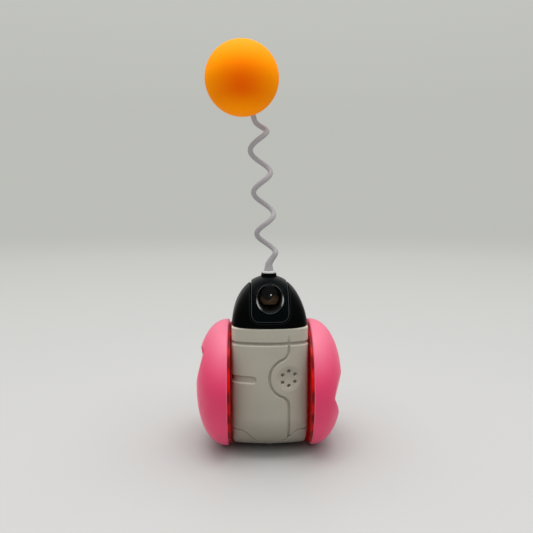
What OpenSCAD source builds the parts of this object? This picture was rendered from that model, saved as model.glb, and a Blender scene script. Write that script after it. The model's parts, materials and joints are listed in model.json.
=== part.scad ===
// Wobble pet toy: an egg-shaped sound body hangs low between two domed wheels,
// and a ball rides on a coiled wand above its head.
// The axle runs along X, the front faces -Y and the floor is z = 0.

/* [Body] */
// Width of the body between its flat sides
body_w = 42; // [40:0.5:46]
// Depth of the body at its belly
belly_depth = 57; // [54:0.5:62]
// Height of the belly, where the body is deepest
belly_z = 24; // [23:0.5:27]
// Depth of the body at the seam under the head
seam_depth = 49; // [47:0.5:52]
// Height of the seam between the body and the head
seam_z = 72.4; // [70:0.2:75]
// Clearance between the underside and the floor
floor_gap = 1.2; // [0.8:0.1:2]
// Wall of the grey shells
shell_wall = 2.2; // [1.8:0.1:2.6]
// How far the corners of the front fall back from its middle
front_crown = 4.5; // [3:0.25:6]
// Squareness of the body seen from above
body_square = 14; // [10:0.5:18]
// How much the sides draw in at the underside
bottom_tuck = 1.2; // [0.5:0.1:2]
// Width of the grooves and panel lines
groove_w = 1.1; // [0.8:0.1:1.4]
// Depth of the grooves and panel lines
groove_d = 0.7; // [0.4:0.1:1]
// Distance of the belt groove below the seam
belt_drop = 7.8; // [6:0.2:9]
// Height at which the bottom cover's seam meets the sides
cover_side_z = 16; // [14:0.5:18]
// Height of the bottom cover's seam at the middle
cover_mid_z = 6; // [5:0.5:8]
// Gap along the seams of covers and doors
seam_gap = 0.3; // [0.2:0.05:0.4]

/* [Front] */
// Distance of the speaker from the body's right side
speaker_side = 10.9; // [10.5:0.1:12]
// Distance of the speaker below the seam
speaker_drop = 26.7; // [25:0.1:28.5]
// Radius of the speaker's dished grille
dish_r = 6.8; // [6:0.1:7.4]
// Depth of the dish at its middle
dish_d = 1.1; // [0.8:0.1:1.4]
// Number of sound holes
sound_holes = 6; // [4:1:8]
// Radius of the ring of sound holes
sound_ring_r = 4; // [3.5:0.1:4.5]
// Diameter of a sound hole
sound_hole_d = 1.8; // [1.2:0.1:2.2]
// Radius of the panel line's bow round the speaker
bow_r = 10.6; // [9.5:0.1:12]
// Radius of the bends at the bow's ends
bow_fillet = 6; // [4.5:0.1:7]
// Distance of the side recess's centre line below the seam
recess_drop = 27.4; // [26:0.2:29]
// Height of the side recess
recess_h = 3.8; // [3:0.1:5]
// Length of the side recess from the body's left side
recess_len = 13.2; // [11:0.2:16]
// Diameter of the loudspeaker
speaker_d = 15; // [14:0.5:15.5]
// Thickness of the loudspeaker
speaker_t = 4.2; // [3:0.1:6]
// Thickness of the loudspeaker's frame
speaker_rim_t = 2.1; // [1.6:0.1:2.6]
// Diameter of the loudspeaker's magnet
magnet_d = 10.8; // [9:0.2:12]

/* [Head] */
// Height of the head from its seam to its crown
head_h = 25.4; // [23:0.2:28]
// How far the head's widest level lies below the seam
head_drop = 2.9; // [2:0.1:4]
// How far the head stands out past the body's sides
head_proud = 0.3; // [0:0.1:0.5]
// Squareness of the head's side view
head_square = 2.4; // [2.1:0.05:2.8]
// Wall of the head shell
head_wall = 3; // [2.6:0.1:3.4]
// Thickness of the face plate
plate_t = 1.3; // [1:0.1:1.5]
// How far the face plate stands proud of the head
plate_proud = 0.3; // [0:0.1:0.5]
// Width of the face plate
plate_w = 20.6; // [19:0.2:23]
// Height of the face plate's lower edge above the seam
plate_low = 3.4; // [2.6:0.1:5]
// Radius of the face plate's lower corners
plate_corner = 4.5; // [3:0.1:6]
// Gap round the face plate
plate_gap = 0.7; // [0.5:0.05:1]
// Height of the eye above the seam
eye_up = 15.4; // [14:0.1:16.4]
// Diameter of the eye's bezel
eye_d = 15; // [13.5:0.1:16]
// Wall of the bezel at the lens
bezel_wall = 1.7; // [1.2:0.1:2.2]
// Depth of the lens behind the middle of the body's seam front
lens_back = 11; // [10:0.2:12.5]
// Thickness of the lens at its edge
lens_t = 1.6; // [1.2:0.1:2.2]

/* [Wheels] */
// Radius of a wheel at its rim
wheel_r = 36; // [35:0.5:38]
// Depth of a wheel's dome from its rim to its crown
dome_depth = 18.7; // [17.5:0.1:21]
// Squareness of the dome: 2 is an ellipse
dome_square = 2.25; // [2.1:0.05:2.5]
// Width of the tread at the dome's rim
tread_w = 1.2; // [0.8:0.1:2]
// Number of shallow flats round the tread
tread_flats = 60; // [40:4:64]
// Wall of the dome at its rim
dome_wall = 2.4; // [1.8:0.1:2.8]
// Thickness of the dome at its crown, under which the scoop is cut
crown_wall = 7.2; // [6.8:0.1:7.6]
// Gap between the body's side and the disc
side_gap = 0.6; // [0.5:0.05:0.9]
// Thickness of the disc's flange that shows beside the rim
flange_t = 1.4; // [1.2:0.1:2]
// How far the flange lies inside the rim's edge
flange_inset = 1.5; // [1:0.1:2.5]
// Height of the spigot that centres the dome on the disc
spigot_h = 2.2; // [1.5:0.1:3]
// Number of notches round the flange
notches = 14; // [8:1:24]
// Width of a notch
notch_w = 4; // [2:0.25:6]
// Depth of a notch
notch_d = 0.6; // [0.4:0.1:1]
// Radius of the scoop's valley
scoop_r = 39.75; // [38:0.25:42]
// Least distance of the scoop's valley from the axle
scoop_near = 17; // [15.5:0.25:18.5]
// Tilt of the scoop
scoop_tilt = 2.4; // [1.5:0.1:3.5]
// Depth of the scoop's valley below the crown
scoop_drop = 6.9; // [6.4:0.1:7.2]
// Rise of the scoop's outer wall per unit of width
scoop_wall_rise = 4.1; // [3:0.1:5]
// Rise of the scoop's inner slope per unit of width
scoop_slope_rise = 0.31; // [0.25:0.01:0.36]
// Turn of the right wheel's scoop at rest
scoop_turn_right = 84; // [0:1:359]
// Turn of the left wheel's scoop at rest
scoop_turn_left = 229; // [0:1:359]

/* [Axle] */
// Diameter of the axle
axle_d = 5; // [4:0.25:6]
// Running clearance round the axle in the bushes
running_gap = 0.05; // [0.03:0.01:0.08]
// Outer diameter of a bush
bush_d = 8.6; // [8:0.1:9.4]
// Length of a bush
bush_len = 9; // [7:0.25:9.5]
// Wall of the disc's hub round the bush
hub_wall = 2; // [1.5:0.1:3]
// Diameter of an axle clip
clip_d = 8; // [7.4:0.1:9]
// Thickness of an axle clip
clip_t = 0.8; // [0.6:0.05:1]
// Length of axle past its clip
axle_tail = 1; // [0.6:0.1:1.2]

/* [Wand and ball] */
// Diameter of the wand's collar at its top
collar_d = 8.6; // [8:0.1:9.4]
// How much wider the collar is at its base
collar_flare = 0.8; // [0.4:0.1:1.2]
// Height of the collar above the head's crown
collar_h = 1.6; // [1.2:0.1:2.4]
// How deep the collar is let into the head's crown
collar_sink = 1.2; // [0.8:0.1:1.6]
// Height of the collar's upright foot
collar_foot = 0.6; // [0.4:0.1:1]
// Diameter of the white plug's flange
plug_d = 8.2; // [7.4:0.1:8.4]
// Height of the plug's flange
plug_h = 1.4; // [1:0.1:2]
// Diameter of the plug's stem
plug_stem_d = 4; // [3.4:0.1:4.6]
// Length of the plug's stem
plug_stem = 7; // [5:0.5:9]
// Diameter of the wand's strand
strand_d = 2.9; // [2.6:0.1:3.3]
// Radius of the coil's centre line
coil_r = 5.2; // [4.5:0.1:6]
// Rise of the coil in one turn
coil_pitch = 23.1; // [22:0.1:24.5]
// Height of the coil's first rightmost point above the seam
coil_phase_up = 37.8; // [35:0.1:41]
// Diameter of the ball
ball_d = 40; // [36:0.5:44]
// Wall of the ball
ball_wall = 1.2; // [1:0.1:2]
// Place of the ball's centre: sideways
ball_x = -14.7; // [-18:0.1:-10]
// Place of the ball's centre: front to back
ball_y = -5; // [-8:0.1:-2]
// Height of the ball's centre above the seam
ball_up = 133.4; // [130:0.2:136]
// Place on the ball where the wand enters: turn about the upright, from +X
entry_turn = 41; // [30:1:55]
// Place on the ball where the wand enters: angle below the ball's middle
entry_dip = 67; // [60:1:75]
// How deep the wand goes into the ball's socket
entry_depth = 5; // [4:0.25:7]
// Clearance round the wand in the ball's socket
entry_gap = 0.2; // [0.15:0.05:0.3]

/* [Inside] */
// Clearance between the ballast's ends and the shell
ballast_side_gap = 2.6; // [2:0.1:4]
// Height of the ballast's underside above the floor
ballast_z = 5.4; // [5:0.1:6.5]
// Height of the ballast
ballast_h = 16.6; // [13:0.1:16.8]
// How far the ballast lies forward of the axle, so that the body hangs upright
ballast_fore = 0.4; // [0:0.1:0.8]
// Diameter of the small screws' shanks
screw_d = 2.4; // [2:0.1:2.8]
// Diameter of the small screws' heads
screw_head_d = 4.4; // [4:0.1:5]
// Height of the small screws' heads
screw_head_h = 1.6; // [1.2:0.1:2]
// Wall of a screw boss
boss_wall = 1.8; // [1.4:0.1:2.2]
// Distance of the screw bosses from the body's sides
boss_side = 6.6; // [6.4:0.1:7.5]
// Height of the lower pair of screw bosses
boss_low_z = 26.6; // [26.4:0.1:26.8]
// Distance of the upper pair of screw bosses below the seam
boss_drop = 5.4; // [4.6:0.2:6.4]
// Clearance between the sound board and the loudspeaker
board_speaker_gap = 2.6; // [2:0.1:5]
// Height of the sound board
board_h = 17; // [15:0.5:18]
// Thickness of the sound board
board_t = 1.6; // [1:0.1:2]
// Distance of the sound board's lower edge below the seam
board_drop = 28.9; // [27.5:0.1:29.5]
// Depth of the sound board's front face behind the seam's front
board_back = 8; // [7:0.25:10]
// Diameter of a button cell
cell_d = 11.6; // [10:0.1:12.5]
// Height of a button cell
cell_h = 5.4; // [3.6:0.1:5.6]
// Number of button cells
cells = 3; // [2:1:3]
// Wall of the cell tray
tray_wall = 1.4; // [1:0.1:1.8]
// Distance of the cells' centre line below the seam
cell_drop = 24.4; // [22.4:0.2:25.4]
// Clearance of the cells in their tray
cell_gap = 0.25; // [0.15:0.05:0.4]
// Thickness of a cell contact
contact_t = 0.5; // [0.3:0.05:0.7]
// Travel of the power switch from off to on
switch_travel = 3; // [2:0.25:4]
// Width of the switch knob
knob_w = 4; // [3:0.25:5]
// Height of the switch knob
knob_h = 3.4; // [2.6:0.1:4]
// Distance of the power switch below the seam
switch_drop = 12.4; // [11.4:0.2:13.4]
// How far the switch knob stands out of the shell
knob_proud = 0.8; // [0.4:0.1:1.4]

/* [Hidden] */
$fn = 64;
eps = 0.01;
// Reach of a cut past the face that it cuts
over = 1;
// Clearance of pieces that are pressed or glued into each other
fit_gap = 0.05;
// How much a self-tapping screw's hole is narrower than its shank
thread_bite = 0.4;
half_w = body_w / 2;
belly_hd = belly_depth / 2;
seam_hd = seam_depth / 2;
crown_share = front_crown / belly_hd;
belt_z = seam_z - belt_drop;
speaker_x = half_w - speaker_side;
speaker_z = seam_z - speaker_drop;
recess_z = seam_z - recess_drop;
recess_end_x = recess_len - half_w;
ballast_len = body_w - 2 * (shell_wall + ballast_side_gap);
boss_x = half_w - boss_side;
boss_high_z = seam_z - boss_drop;
board_z = seam_z - board_drop;
cell_z = seam_z - cell_drop;
switch_z = seam_z - switch_drop;
axle_z = wheel_r;
axle_r = axle_d / 2;
head_c = seam_z - head_drop;
crown_z = seam_z + head_h;
rim_x = half_w + side_gap + flange_t;
disc_x = half_w + side_gap;
dome_top_x = rim_x + dome_depth;
flange_r = wheel_r - flange_inset;
spigot_gap = 0.5;
spigot_r = wheel_r - dome_wall - spigot_gap;
bush_end_x = disc_x + bush_len;
clip_play = 0.2;
clip_x = bush_end_x + clip_play;
axle_half = clip_x + clip_t + axle_tail;
collar_seat_z = crown_z - collar_sink;
collar_top_z = crown_z + collar_h;
plug_top_z = collar_top_z + plug_h;
socket_wall = 1.4;
socket_stem_r = plug_stem_d / 2 + socket_wall;
eye_z = seam_z + eye_up;
eye_r = eye_d / 2;
lens_y = -seam_hd + lens_back;
lens_r = eye_r - bezel_wall;
boss_r = screw_d / 2 + boss_wall;
light_screw = screw_d - thread_bite;
board_y = -seam_hd + board_back;
board_side_gap = 0.8;
board_x0 = -half_w + shell_wall + board_side_gap;
board_w = speaker_x - speaker_d / 2 - board_speaker_gap - board_x0;
ball_c = [ball_x, ball_y, seam_z + ball_up];
ball_r = ball_d / 2;

// Levels of the body's rings: those below the belly, then those up to the seam
low_rings = 7;
high_rings = 5;
body_rings = low_rings + high_rings;
first_dip = 13;
half_steps = 22;
head_rings = 9;
head_steps = 44;
head_last = 80;

// Tray for the button cells, set against the back wall
tray_seat_gap = 0.3;
tray_lug = 1.5;
tray_foot_h = 3;
tray_half_w = cells * cell_h / 2 + cell_gap + contact_t + tray_wall;
tray_half_h = cell_d / 2 + cell_gap + tray_wall;
tray_back_y = depth_at(tray_half_w + tray_lug, cell_z + tray_half_h, shell_wall) - tray_seat_gap;
cell_y = tray_back_y - cell_d / 2 - cell_gap;
tray_front_y = cell_y - cell_d / 2 - cell_gap - tray_wall;

// Half-depth of the body at a height between the belly and the seam
function upper_depth(z, inset) =
    belly_hd - (belly_hd - seam_hd) * pow((z - belly_z) / (seam_z - belly_z), 2) - inset;

// Half-depth of the body at any height from its underside to the seam
function body_depth(z, inset) =
    z >= belly_z ? upper_depth(z, inset)
    : (belly_hd - inset) * sqrt(max(0, 1 - pow((belly_z - z) / belly_drop(inset), 2)));

// Height of the belly's lower curve, which the flat underside cuts off
function belly_drop(inset) = (belly_z - floor_gap - inset) / cos(first_dip);

// Half-depth of the body at a place on its width
function depth_at(x, z, inset) =
    let (u = min(1, abs(x) / (half_w - inset)))
    body_depth(z, inset) * pow(1 - pow(u, body_square), 1 / body_square) * (1 - crown_share * u * u);

// A point on a squarish ring of half-width a and half-depth b
function ring_point(turn, z, a, b, square, crown) =
    let (r = pow(pow(abs(cos(turn)), square) + pow(abs(sin(turn)), square), -1 / square),
         u = r * cos(turn))
    [a * u, b * r * sin(turn) * (1 - crown * u * u), z];

// Angle of a low ring round the belly's curve, from the underside up
function low_dip(i) = first_dip + (90 - first_dip) * i / low_rings;

// Points of one ring of the body, over a turn from first to last
function body_ring(i, inset, first, last, steps) =
    let (low = i <= low_rings,
         z = low ? belly_z - belly_drop(inset) * cos(low_dip(i))
                 : belly_z + (seam_z - belly_z) * (i - low_rings) / high_rings,
         a = half_w - inset - (low ? bottom_tuck * pow(cos(low_dip(i)), 4) : 0),
         b = low ? (belly_hd - inset) * sin(low_dip(i)) : upper_depth(z, inset))
    [for (j = [0:steps])
        ring_point(first + (last - first) * j / steps, z, a, b, body_square, crown_share)];

// Squareness of the head seen from above, falling towards its crown
head_plan_top = 2.3;
head_plan_low = 6;
head_plan_fall = 1.5;
function head_plan(t) = head_plan_top + (head_plan_low - head_plan_top) * pow(1 - t, head_plan_fall);

// Points of one ring of the head
function head_ring(k, inset) =
    let (rise = crown_z - inset - head_c,
         dip0 = asin(head_drop / rise),
         dip = dip0 + (head_last - dip0) * k / head_rings,
         z = head_c + rise * sin(dip),
         a = (half_w + head_proud - inset) * cos(dip),
         b = (seam_hd - inset) * pow(1 - pow(sin(dip), head_square), 1 / head_square),
         t = k / head_rings)
    [for (j = [0:head_steps - 1])
        ring_point(360 * j / head_steps, z, a, b, head_plan(t), crown_share * (1 - t))];

// Triangles of a grid of rings, seen from outside or, turned over, from inside
function grid_faces(rings, count, closed, offset, inside) =
    [for (i = [0:rings - 2]) for (j = [0:count - (closed ? 1 : 2)])
        let (k = (j + 1) % count,
             p = offset + i * count + j,
             q = offset + i * count + k,
             r = offset + (i + 1) * count + j,
             s = offset + (i + 1) * count + k)
        each (inside ? [[p, s, r], [p, q, s]] : [[p, r, s], [p, s, q]])];

// Triangles between two matching edges of an outer and an inner grid
function strip_faces(outer, inner, closed, flip) =
    let (count = len(outer))
    [for (j = [0:count - (closed ? 1 : 2)])
        let (k = (j + 1) % count)
        each (flip ? [[outer[j], outer[k], inner[k]], [outer[j], inner[k], inner[j]]]
                   : [[outer[j], inner[k], outer[k]], [outer[j], inner[j], inner[k]]])];

function row(first, count, step = 1) = [for (j = [0:count - 1]) first + j * step];
function reversed(list) = [for (j = [len(list) - 1:-1:0]) list[j]];
function joined(lists) = [for (list = lists) each list];

// Front half of a layer of the body between two insets, closed below where it starts at the underside
module half_layer(from, to, out, in, cupped) {
    rings = to - from + 1;
    count = half_steps + 1;
    inner = rings * count;
    points = joined([for (i = [from:to]) body_ring(i, out, 180, 360, half_steps)]);
    inner_points = joined([for (i = [from:to]) body_ring(i, in, 180, 360, half_steps)]);
    left = strip_faces(row(0, rings, count), row(inner, rings, count), false, true);
    last = count - 1;
    right = strip_faces(row(last, rings, count), row(inner + last, rings, count), false, false);
    top = strip_faces(row(inner - count, count), row(2 * inner - count, count), false, false);
    floor_faces = [row(0, count), reversed(row(inner, count)),
                   [0, count - 1, inner + count - 1], [0, inner + count - 1, inner]];
    bottom = cupped ? floor_faces : strip_faces(row(0, count), row(inner, count), false, true);
    outside = grid_faces(rings, count, false, 0, false);
    inside = grid_faces(rings, count, false, inner, true);
    polyhedron(concat(points, inner_points),
               concat(outside, inside, reverse_sides(left), reverse_sides(right), top, bottom), 4);
}

// The two cut faces of a half layer look backwards
function reverse_sides(faces) = [for (f = faces) [f[0], f[2], f[1]]];

// Dome of the head between two insets, flat at its crown
module head_layer(out, in) {
    count = head_steps;
    rings = head_rings + 1;
    inner = rings * count;
    points = joined([for (k = [0:head_rings]) head_ring(k, out)]);
    inner_points = joined([for (k = [0:head_rings]) head_ring(k, in)]);
    polyhedron(concat(points, inner_points),
               concat(grid_faces(rings, count, true, 0, false), grid_faces(rings, count, true, inner, true),
                      strip_faces(row(0, count), row(inner, count), true, true),
                      [reversed(row(inner - count, count)), row(2 * inner - count, count)]), 4);
}

// Solid dome of the head
module head_solid(out) {
    count = head_steps;
    rings = head_rings + 1;
    points = joined([for (k = [0:head_rings]) head_ring(k, out)]);
    polyhedron(points, concat(grid_faces(rings, count, true, 0, false),
                              [row(0, count), reversed(row((rings - 1) * count, count))]), 4);
}

// A shape drawn in X and Z, carried from one depth to another
module through_y(y0, y1) {
    translate([0, y1, 0])
        rotate([90, 0, 0])
            linear_extrude(y1 - y0)
                children();
}

// A cylinder along Y
module rod_y(x, z, y0, y1, r) {
    translate([x, y0, z])
        rotate([-90, 0, 0])
            cylinder(h = y1 - y0, r = r);
}

// A cylinder along X
module rod_x(x0, x1, r) {
    translate([x0, 0, axle_z])
        rotate([0, 90, 0])
            cylinder(h = x1 - x0, r = r);
}

// A turned shape along X round the axle, drawn with its radius first and its X second
module turned_x() {
    translate([0, 0, axle_z])
        rotate([0, 90, 0])
            rotate_extrude($fn = 96)
                children();
}

// Height of the bottom cover's seam at a place on the width
cover_in_x = 4;
cover_out_x = 16;
function cover_edge(x) =
    let (t = min(1, max(0, (abs(x) - cover_in_x) / (cover_out_x - cover_in_x))))
    cover_mid_z + (cover_side_z - cover_mid_z) * t * t * (3 - 2 * t);

// Outline of the bottom cover seen from the front, raised by a gap
cover_steps = 21;
module cover_outline(gap) {
    wide = half_w + over;
    polygon(concat([for (i = [0:cover_steps]) let (x = -wide + 2 * wide * i / cover_steps)
                        [x, cover_edge(x) + gap]],
                   [[wide, 0], [-wide, 0]]));
}

// Centre line of the panel line that bows round the speaker
bow_rise = sqrt(bow_r * bow_r + 2 * bow_r * bow_fillet);
bow_turn = acos(bow_fillet / (bow_r + bow_fillet));
arc_steps = 8;
function arc(x, z, r, from, to) =
    [for (i = [0:arc_steps]) let (a = from + (to - from) * i / arc_steps) [x + r * cos(a), z + r * sin(a)]];
function panel_edge(side) = concat(
    [[speaker_x + side, seam_z]],
    arc(speaker_x - bow_fillet, speaker_z + bow_rise, bow_fillet + side, 0, -bow_turn),
    arc(speaker_x, speaker_z, bow_r - side, 180 - bow_turn, 180 + bow_turn),
    arc(speaker_x - bow_fillet, speaker_z - bow_rise, bow_fillet + side, bow_turn, 0),
    [[speaker_x + side, 0]]);
module panel_line() {
    polygon(concat(panel_edge(groove_w / 2), reversed(panel_edge(-groove_w / 2))));
}

// Band of the belt groove
module belt_line() {
    translate([-body_w, belt_z - groove_w / 2])
        square([2 * body_w, groove_w]);
}

// Shallow round-ended recess that runs in from the left side of the front
module side_recess() {
    translate([-body_w, recess_z - recess_h / 2])
        square([body_w + recess_end_x - recess_h / 2, recess_h]);
    translate([recess_end_x - recess_h / 2, recess_z])
        circle(d = recess_h);
}

// Half of the grey casing with its axle saddles
saddle_len = 6;
saddle_h = 12;
saddle_deep = 9;
saddle_root = 0.6;
module casing_half() {
    saddle_mid = half_w - shell_wall + saddle_root - saddle_len / 2;
    half_layer(0, body_rings, 0, shell_wall, true);
    for (side = [-1, 1])
        translate([side * saddle_mid - saddle_len / 2, -saddle_deep, axle_z - saddle_h / 2])
            cube([saddle_len, saddle_deep, saddle_h]);
}

// Places of the screws that hold the two shells together
function shell_screw_places() =
    [for (z = [boss_low_z, boss_high_z]) for (side = [-1, 1]) [side * boss_x, z]];

// Axle bore through both sides
module axle_bore() {
    rod_x(-body_w, body_w, axle_r + running_gap);
}

// Rim of the speaker's seat behind the front wall
speaker_seat_h = 2.8;
speaker_y = -depth_at(speaker_x + dish_r, speaker_z, shell_wall) + speaker_seat_h;
speaker_seat_wall = 1.5;
module speaker_rod(y0, y1, r) {
    rod_y(speaker_x, speaker_z, y0, y1, r);
}

module front_shell() {
    color([0.6, 0.58, 0.53])
    difference() {
        union() {
            casing_half();
            for (p = shell_screw_places())
                rod_y(p[0], p[1], -depth_at(p[0], p[1], shell_wall / 2), 0, boss_r);
            difference() {
                speaker_rod(-depth_at(speaker_x, speaker_z, shell_wall / 2), speaker_y, speaker_d / 2);
                speaker_rod(-belly_depth, 0, speaker_d / 2 - speaker_seat_wall);
            }
            for (x = board_post_x)
                rod_y(x, board_z + board_h / 2, -depth_at(x, board_z, shell_wall / 2), board_y, boss_r);
        }
        intersection() {
            through_y(-belly_depth, 0) {
                panel_line();
                belt_line();
                side_recess();
            }
            half_layer(1, body_rings, -over, groove_d, false);
        }
        through_y(-belly_depth, eps) cover_outline(seam_gap);
        axle_bore();
        for (p = shell_screw_places())
            rod_y(p[0], p[1], -shell_screw_bite - over, over, light_screw / 2);
        for (x = board_post_x)
            rod_y(x, board_z + board_h / 2, board_y - board_screw_len, over, light_screw / 2);
        dish_sphere();
        for (i = [0:sound_holes - 1])
            let (a = 360 * i / sound_holes)
            translate([sound_ring_r * sin(a), 0, sound_ring_r * cos(a)])
                speaker_rod(-belly_depth, speaker_y, sound_hole_d / 2);
    }
}

// Shallow ball that dishes the grille
dish_ball_r = (dish_r * dish_r + dish_d * dish_d) / (2 * dish_d);
module dish_sphere() {
    translate([speaker_x, -depth_at(speaker_x, speaker_z, 0) + dish_d - dish_ball_r, speaker_z])
        sphere(r = dish_ball_r, $fn = 96);
}

// Battery door on the back
door_t = 1.6;
door_lip = 1.4;
door_w = 2 * (tray_half_w + door_lip);
door_top_z = cell_z + tray_half_h + door_lip;
door_screw_z = cell_z - tray_half_h - boss_r - seam_gap;
door_low_z = door_screw_z - boss_r - seam_gap;
module door_outline(gap) {
    translate([-door_w / 2 - gap, door_low_z - gap])
        square([door_w + 2 * gap, door_top_z - door_low_z + 2 * gap]);
}

// Way through the back wall to the cells
module cell_window() {
    translate([-tray_half_w, cell_z - tray_half_h])
        square([2 * tray_half_w, 2 * tray_half_h]);
}

// Window in the back for the switch knob
knob_slot_w = knob_w + switch_travel + 2 * seam_gap;
knob_slot_h = knob_h + 2 * seam_gap;

module rear_shell() {
    color([0.58, 0.56, 0.51])
    difference() {
        union() {
            mirror([0, 1, 0]) casing_half();
            for (p = shell_screw_places())
                rod_y(p[0], p[1], 0, depth_at(p[0], p[1], shell_wall / 2), boss_r);
            rod_y(0, door_screw_z, door_seat_y - door_screw_len - over, door_seat_y, boss_r);
        }
        intersection() {
            through_y(0, belly_depth) belt_line();
            mirror([0, 1, 0]) half_layer(low_rings, body_rings, -over, groove_d, false);
        }
        intersection() {
            through_y(0, belly_depth) door_outline(seam_gap);
            mirror([0, 1, 0]) half_layer(low_rings, body_rings, -over, door_t, false);
        }
        through_y(door_seat_y / 2, belly_depth) cell_window();
        through_y(-eps, belly_depth) cover_outline(seam_gap);
        axle_bore();
        for (p = shell_screw_places()) {
            rod_y(p[0], p[1], -over, belly_depth, screw_d / 2 + seam_gap / 2);
            rod_y(p[0], p[1], screw_seat_y(p), belly_depth, screw_head_d / 2 + seam_gap / 2);
        }
        rod_y(0, door_screw_z, door_seat_y - door_screw_len, belly_depth, light_screw / 2);
        translate([-knob_slot_w / 2, 0, switch_z - knob_slot_h / 2])
            cube([knob_slot_w, belly_depth, knob_slot_h]);
    }
}

// Depth at which a shell screw's head sits, sunk below the shell's face
head_sink = 0.8;
function screw_seat_y(p) = depth_at(abs(p[0]) + screw_head_d / 2, p[1], 0) - screw_head_h - head_sink;

// A plain pan-head screw along Y with its head at the back
module screw_y(x, z, seat_y, length) {
    rod_y(x, z, seat_y - length, seat_y + eps, screw_d / 2 - seam_gap);
    rod_y(x, z, seat_y, seat_y + screw_head_h, screw_head_d / 2 - seam_gap / 2);
}

shell_screw_bite = 8;
module shell_screws() {
    color([0.72, 0.72, 0.74])
    for (p = shell_screw_places())
        screw_y(p[0], p[1], screw_seat_y(p), screw_seat_y(p) + shell_screw_bite);
}

// Bosses of the bottom cover, on which the ballast stands
cover_boss_y = 8;
cover_boss_r = 4;
cover_screw_len = 9;
module bottom_cover() {
    color([0.55, 0.52, 0.48])
    difference() {
        union() {
            intersection() {
                union() {
                    half_layer(0, low_rings, 0, shell_wall, true);
                    mirror([0, 1, 0]) half_layer(0, low_rings, 0, shell_wall, true);
                }
                through_y(-belly_depth, belly_depth) cover_outline(0);
            }
            for (side = [-1, 1])
                translate([0, side * cover_boss_y, cover_boss_low])
                    cylinder(h = ballast_z - cover_boss_low, r = cover_boss_r);
        }
        for (side = [-1, 1]) {
            translate([0, side * cover_boss_y, -over])
                cylinder(h = ballast_z + 2 * over, r = screw_d / 2);
            translate([0, side * cover_boss_y, -over])
                cylinder(h = cover_seat_z + over, r = screw_head_d / 2 + seam_gap / 2);
        }
    }
}
// Levels inside the cover's wall where its bosses start and its screws' heads sit
cover_boss_low = floor_gap + shell_wall / 2;
cover_head_sink = 0.2;
cover_seat_z = floor_gap + screw_head_h + cover_head_sink;

module cover_screws() {
    color([0.72, 0.72, 0.74])
    for (side = [-1, 1])
        translate([0, side * cover_boss_y, 0]) {
            translate([0, 0, cover_seat_z - screw_head_h])
                cylinder(h = screw_head_h, r = screw_head_d / 2);
            translate([0, 0, cover_seat_z - eps])
                cylinder(h = cover_screw_len, r = screw_d / 2 - seam_gap);
        }
}

// Iron block that follows the inside of the belly
ballast_gap = 0.9;
ballast_steps = 6;
function ballast_edge(side) =
    [for (i = [0:ballast_steps])
        let (z = ballast_z + ballast_h * i / ballast_steps)
        [side * depth_at(ballast_len / 2, z, shell_wall + ballast_gap) - ballast_fore, z]];
module ballast() {
    color([0.3, 0.3, 0.32])
    difference() {
        translate([-ballast_len / 2, 0, 0])
            rotate([90, 0, 90])
                linear_extrude(ballast_len)
                    polygon(concat(ballast_edge(1), reversed(ballast_edge(-1))));
        for (side = [-1, 1])
            translate([0, side * cover_boss_y, ballast_z - over])
                cylinder(h = cover_screw_len, r = light_screw / 2);
    }
}

module battery_door() {
    color([0.57, 0.55, 0.5])
    difference() {
        intersection() {
            through_y(0, belly_depth) door_outline(0);
            mirror([0, 1, 0]) half_layer(low_rings, body_rings, 0, door_t - eps, false);
        }
        rod_y(0, door_screw_z, 0, belly_depth, screw_d / 2 + seam_gap / 2);
        rod_y(0, door_screw_z, door_seat_y, belly_depth, screw_head_d / 2 + seam_gap / 2);
    }
}

door_screw_len = 7;
door_seat_y = depth_at(screw_head_d / 2, door_screw_z, 0) - door_t / 2;
module door_screw() {
    color([0.72, 0.72, 0.74])
    screw_y(0, door_screw_z, door_seat_y, door_screw_len);
}

// Outline of the face plate seen from the front, widened by a gap
module plate_outline(gap) {
    hw = plate_w / 2 + gap;
    low = seam_z + plate_low - gap;
    r = plate_corner + gap;
    translate([-hw, low + r])
        square([2 * hw, crown_z + plate_proud + over - low - r]);
    translate([-hw + r, low])
        square([2 * (hw - r), r + eps]);
    for (side = [-1, 1])
        translate([side * (hw - r), low + r])
            circle(r = r);
}

module head_shell() {
    color([0.05, 0.055, 0.06])
    difference() {
        head_layer(0, head_wall);
        intersection() {
            through_y(-belly_depth, belly_depth) plate_outline(plate_gap);
            head_layer(-over, plate_t);
        }
        rod_y(0, eye_z, -belly_depth, 0, eye_r + plate_gap / 2);
        translate([0, 0, crown_z - head_wall * 2])
            cylinder(h = head_wall * 3, r = socket_stem_r + seam_gap / 2);
        collar_seat();
    }
}

// Flat seat cut for the collar
module collar_seat() {
    translate([0, 0, collar_seat_z])
        cylinder(h = head_wall * 2, r = collar_d / 2 + collar_flare / 2 + seam_gap / 2);
}

module face_plate() {
    color([0.06, 0.065, 0.07])
    difference() {
        intersection() {
            through_y(-belly_depth, belly_depth) plate_outline(0);
            head_layer(-plate_proud, plate_t - eps);
        }
        rod_y(0, eye_z, -belly_depth, 0, eye_r + plate_gap / 2);
        translate([0, 0, crown_z - head_wall * 2])
            cylinder(h = head_wall * 3, r = socket_stem_r + seam_gap / 2);
        collar_seat();
    }
}

// A turned shape along Y about the eye's axis, drawn with its radius first and its depth second
module turned_eye() {
    translate([0, lens_y, eye_z])
        rotate([-90, 0, 0])
            rotate_extrude($fn = 96)
                children();
}

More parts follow.
